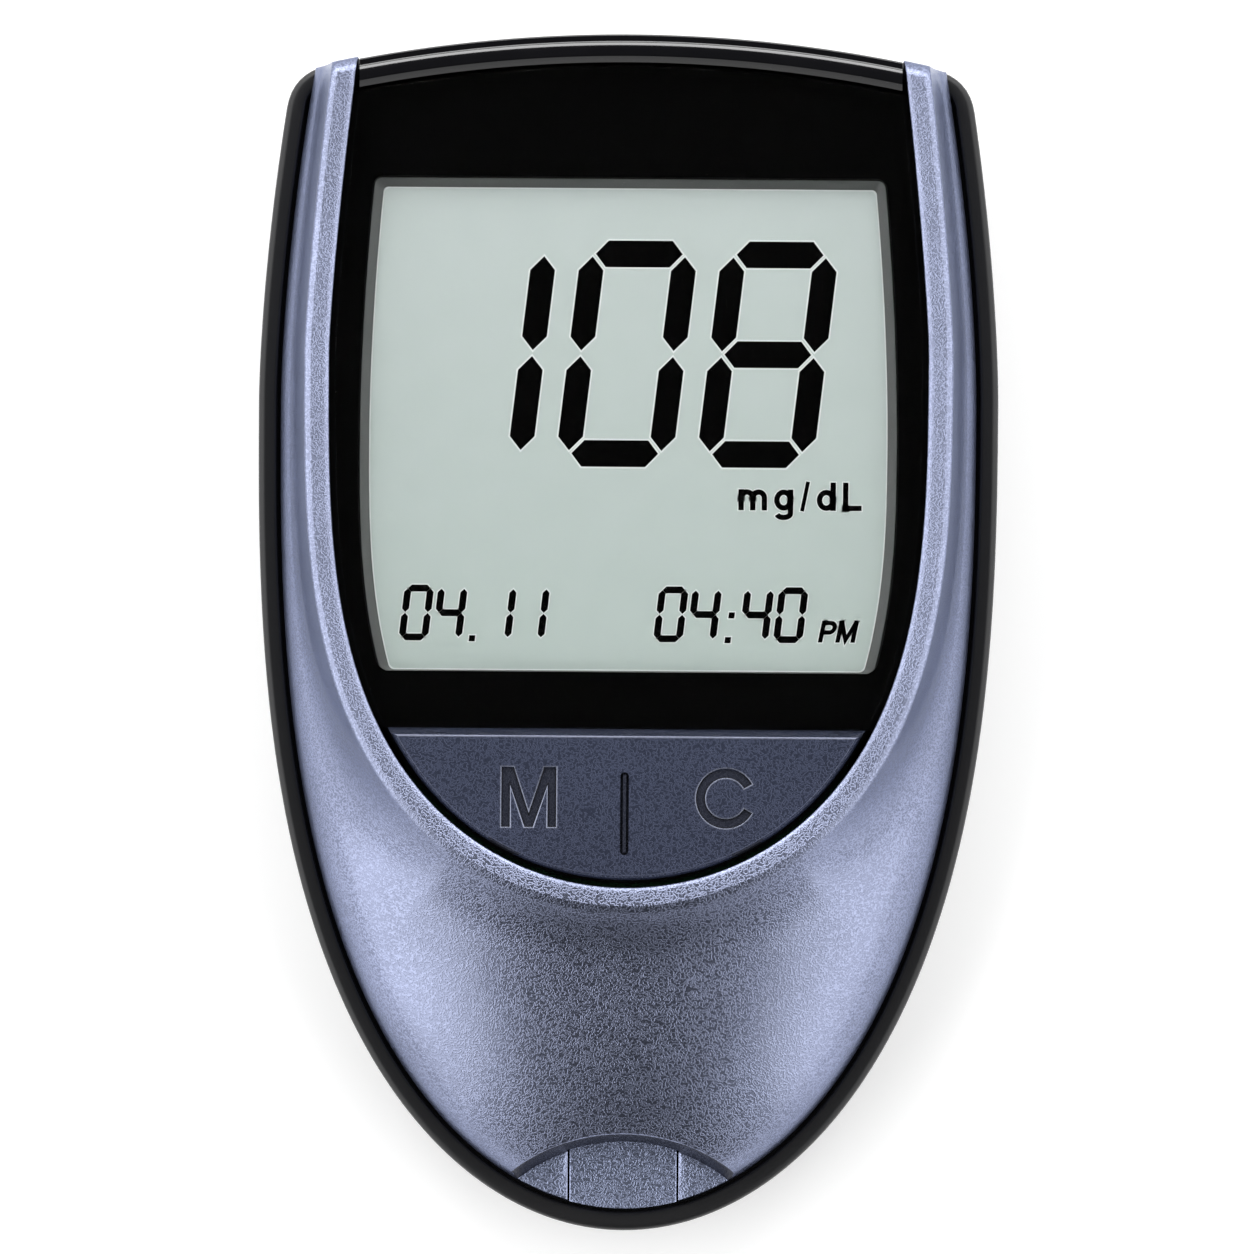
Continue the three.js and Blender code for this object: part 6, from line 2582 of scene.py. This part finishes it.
@dataclass(frozen=True)
class Palette:
    """Every finish of the meter."""

    # The cover's steep tint paints shade on its steep flanks.
    cover: Finish = Finish("cover_metallic_paint", (0.256, 0.283, 0.402), 0.33, 0.95, Grain.WRINKLE, 0.26,
                           0.032, 0.58, 0.13, steep_shade_tint=(0.47, 0.485, 0.53), edge_tint=(0.72, 0.76, 0.88))
    # Painted shade: a dark paint for the port's steep back wall.
    port: Finish = Finish("port_wall_painted_shade", (0.014, 0.017, 0.034), 0.45, 0.6, Grain.WRINKLE, 0.26, 0.02, 0.3)
    key: Finish = Finish("key_metallic_paint", (0.044, 0.053, 0.092), 0.42, 0.6, Grain.WRINKLE, 0.26, 0.035,
                         0.45, 0.1)
    # Painted highlight: a brighter paint for the key's sharp edges.
    key_edge_highlight: Finish = Finish("key_edge_painted_highlight", (0.17, 0.185, 0.25), 0.35, 0.6, Grain.WRINKLE, 0.26, 0.01,
                              0.2)
    # Painted shade: the darkest paint for the letters' walls.
    key_wall_shade: Finish = Finish("key_recess_wall_painted_shade", (0.004, 0.005, 0.009), 0.6, 0.2, Grain.WRINKLE, 0.26,
                              0.01)
    # Painted shade: a darker paint for the letters' floors and the groove.
    recess_shade: Finish = Finish("key_recess_painted_shade", (0.013, 0.016, 0.03), 0.5, 0.4, Grain.WRINKLE, 0.3, 0.03)
    # Painted light: lighter than the cover's paint, for the level channel floors.
    guide: Finish = Finish("guide_paint_with_painted_light", (0.375, 0.425, 0.61), 0.34, 0.82, Grain.WRINKLE, 0.26,
                           0.032, 0.45, 0.15)
    satin: Finish = Finish("satin_black_plastic", (0.011, 0.011, 0.012), 0.4, 0.0, Grain.SPARK, 0.12, 0.006,
                           specular=0.35)
    gloss: Finish = Finish("gloss_black_plastic", (0.004, 0.004, 0.005), 0.14, 0.0, Grain.POLISH, 2.5, 0.002,
                           coat=1.0, specular=1.0)
    frame: Finish = Finish("frame_black_plastic", (0.005, 0.005, 0.005), 0.3, 0.0, Grain.SPARK, 0.1, 0.002)
    window_edge: Finish = Finish("window_edge_plastic", (0.08, 0.083, 0.082), 0.5, 0.0, Grain.SPARK, 0.1,
                                 0.002)
    mask: Finish = Finish("black_lens_print", (0.001, 0.001, 0.001), 0.6, 0.0, Grain.SPARK, 0.08, 0.001,
                          specular=0.02)
    ink: Finish = Finish("display_dark_film", (0.001, 0.001, 0.001), 0.6, 0.0, Grain.POLISH, 0.8, 0.001,
                         specular=0.02)
    light_edge: Finish = Finish("display_light_edge", (0.65, 0.695, 0.68), 0.6, 0.0, Grain.POLISH, 0.8, 0.001,
                                0.04)
    steel: Finish = Finish("zinc_plated_steel", (0.58, 0.58, 0.6), 0.3, 1.0, Grain.BRUSHED, 0.3, 0.004)
    nickel: Finish = Finish("nickel_plate", (0.66, 0.64, 0.6), 0.24, 1.0, Grain.POLISH, 0.9, 0.004)
    gold: Finish = Finish("gold_plate", (0.83, 0.62, 0.27), 0.22, 1.0, Grain.POLISH, 0.5, 0.003)
    board: Finish = Finish("solder_mask", (0.02, 0.11, 0.045), 0.35, 0.0, Grain.WEAVE, 1.2, 0.01, 0.3, 0.3)
    chip: Finish = Finish("moulded_chip_body", (0.02, 0.02, 0.021), 0.6, 0.0, Grain.SPARK, 0.07, 0.006)
    capacitor: Finish = Finish("capacitor_body", (0.72, 0.5, 0.1), 0.5, 0.0, Grain.SPARK, 0.2, 0.006)
    rubber: Finish = Finish("striped_rubber", (0.03, 0.03, 0.033), 0.8, 0.0, Grain.BRUSHED, 0.2, 0.008, 0.5)
    glass: Finish = Finish("display_glass", (0.5, 0.56, 0.54), 0.1, 0.0, Grain.POLISH, 4.0, 0.001)
    reflector: Finish = Finish("reflector_film", (0.7, 0.72, 0.7), 0.35, 0.6, Grain.SPARK, 0.1, 0.003)
    label: Finish = Finish("silver_label_film", (0.6, 0.61, 0.63), 0.4, 0.5, Grain.BRUSHED, 0.25, 0.002, 0.05)
    resin: Finish = Finish("dark_resin", (0.012, 0.004, 0.012), 0.15, 0.0, Grain.POLISH, 1.0, 0.002)
    lens: LensFinish = LensFinish("clear_acrylic")
    display: DisplayFinish = DisplayFinish("display_face", (0.474, 0.537, 0.52), (0.4, 0.473, 0.444),
                                           (-4.4, 37.5))
    sleeve_left: BandedFinish = BandedFinish("sleeve_left", (0.12, 0.17, 0.3), (0.55, 0.55, 0.57), 16.0)
    sleeve_right: BandedFinish = BandedFinish("sleeve_right", (0.55, 0.55, 0.57), (0.12, 0.17, 0.3), -4.0)


NODE_FINISHES = {
    "frame": ("inner_frame",),
    "gold": ("strip_contact_1", "strip_contact_2", "strip_contact_3", "strip_contact_4"),
    "glass": ("lcd_cell",),
    "display": ("lcd_polarizer",),
    "reflector": ("lcd_reflector",),
    "rubber": ("lcd_connector_strip",),
    "board": ("main_board",),
    "chip": ("strip_connector", "microcontroller", "analog_chip", "buzzer"),
    "capacitor": ("storage_capacitor",),
    "resin": ("infrared_module",),
    "nickel": ("contact_link", "contact_negative", "contact_positive"),
    "steel": ("clock_crystal", "board_screw_1", "board_screw_2", "board_screw_3"),
    "label": ("rear_label",),
}


def dress_nodes(materials: dict[str, Material]) -> None:
    """Gives every node that stays its finish.

    Args:
        materials: The palette's materials by name.
    """
    for finish, names in NODE_FINISHES.items():
        for name in names:
            node = frame["nodes"][name]
            if not node.material_slots:
                node.data.materials.append(materials[finish])
            for slot in node.material_slots:
                slot.material = materials[finish]
            log.info("%s: dressed with %s", name, finish)


def main() -> None:
    """Builds the meter's pieces in order, then the stage around them."""
    logging.basicConfig(level=logging.INFO, format="%(message)s")
    plan, levels, palette = Plan.from_frame(), Levels.from_frame(), Palette()
    materials = {name: getattr(palette, name).build() for name in Palette.__dataclass_fields__}
    dress_nodes(materials)
    case = RearCase(plan, levels)
    case.build(materials["satin"])
    # The port's back wall gets painted shade and its floor the guide's painted light.
    FrontCover(plan, levels).build(materials["cover"], materials["port"], materials["guide"])
    StripGuide(plan, levels).build(materials["guide"])
    TopCap(plan, levels).build(materials["gloss"])
    DisplayLens(plan, levels).build(materials["lens"])
    window = DisplayWindow(plan, levels)
    window.build_mask(materials["mask"])
    window.build_edge(materials["window_edge"])
    window.build_line(materials["light_edge"])
    DisplayContent(levels).build(materials["ink"], materials["light_edge"])
    RockerKey(plan, levels).build(*(materials[name] for name in ("key", "recess_shade", "key_edge_highlight", "key_wall_shade")))
    SnapDomes().build(materials["steel"])
    BatteryDoor(case).build(materials["satin"])
    CaseScrews(case).build(materials["steel"])
    Cells().build((materials["sleeve_left"], materials["sleeve_right"]), materials["nickel"])
    Studio().build()


if __name__ == "__main__":
    main()
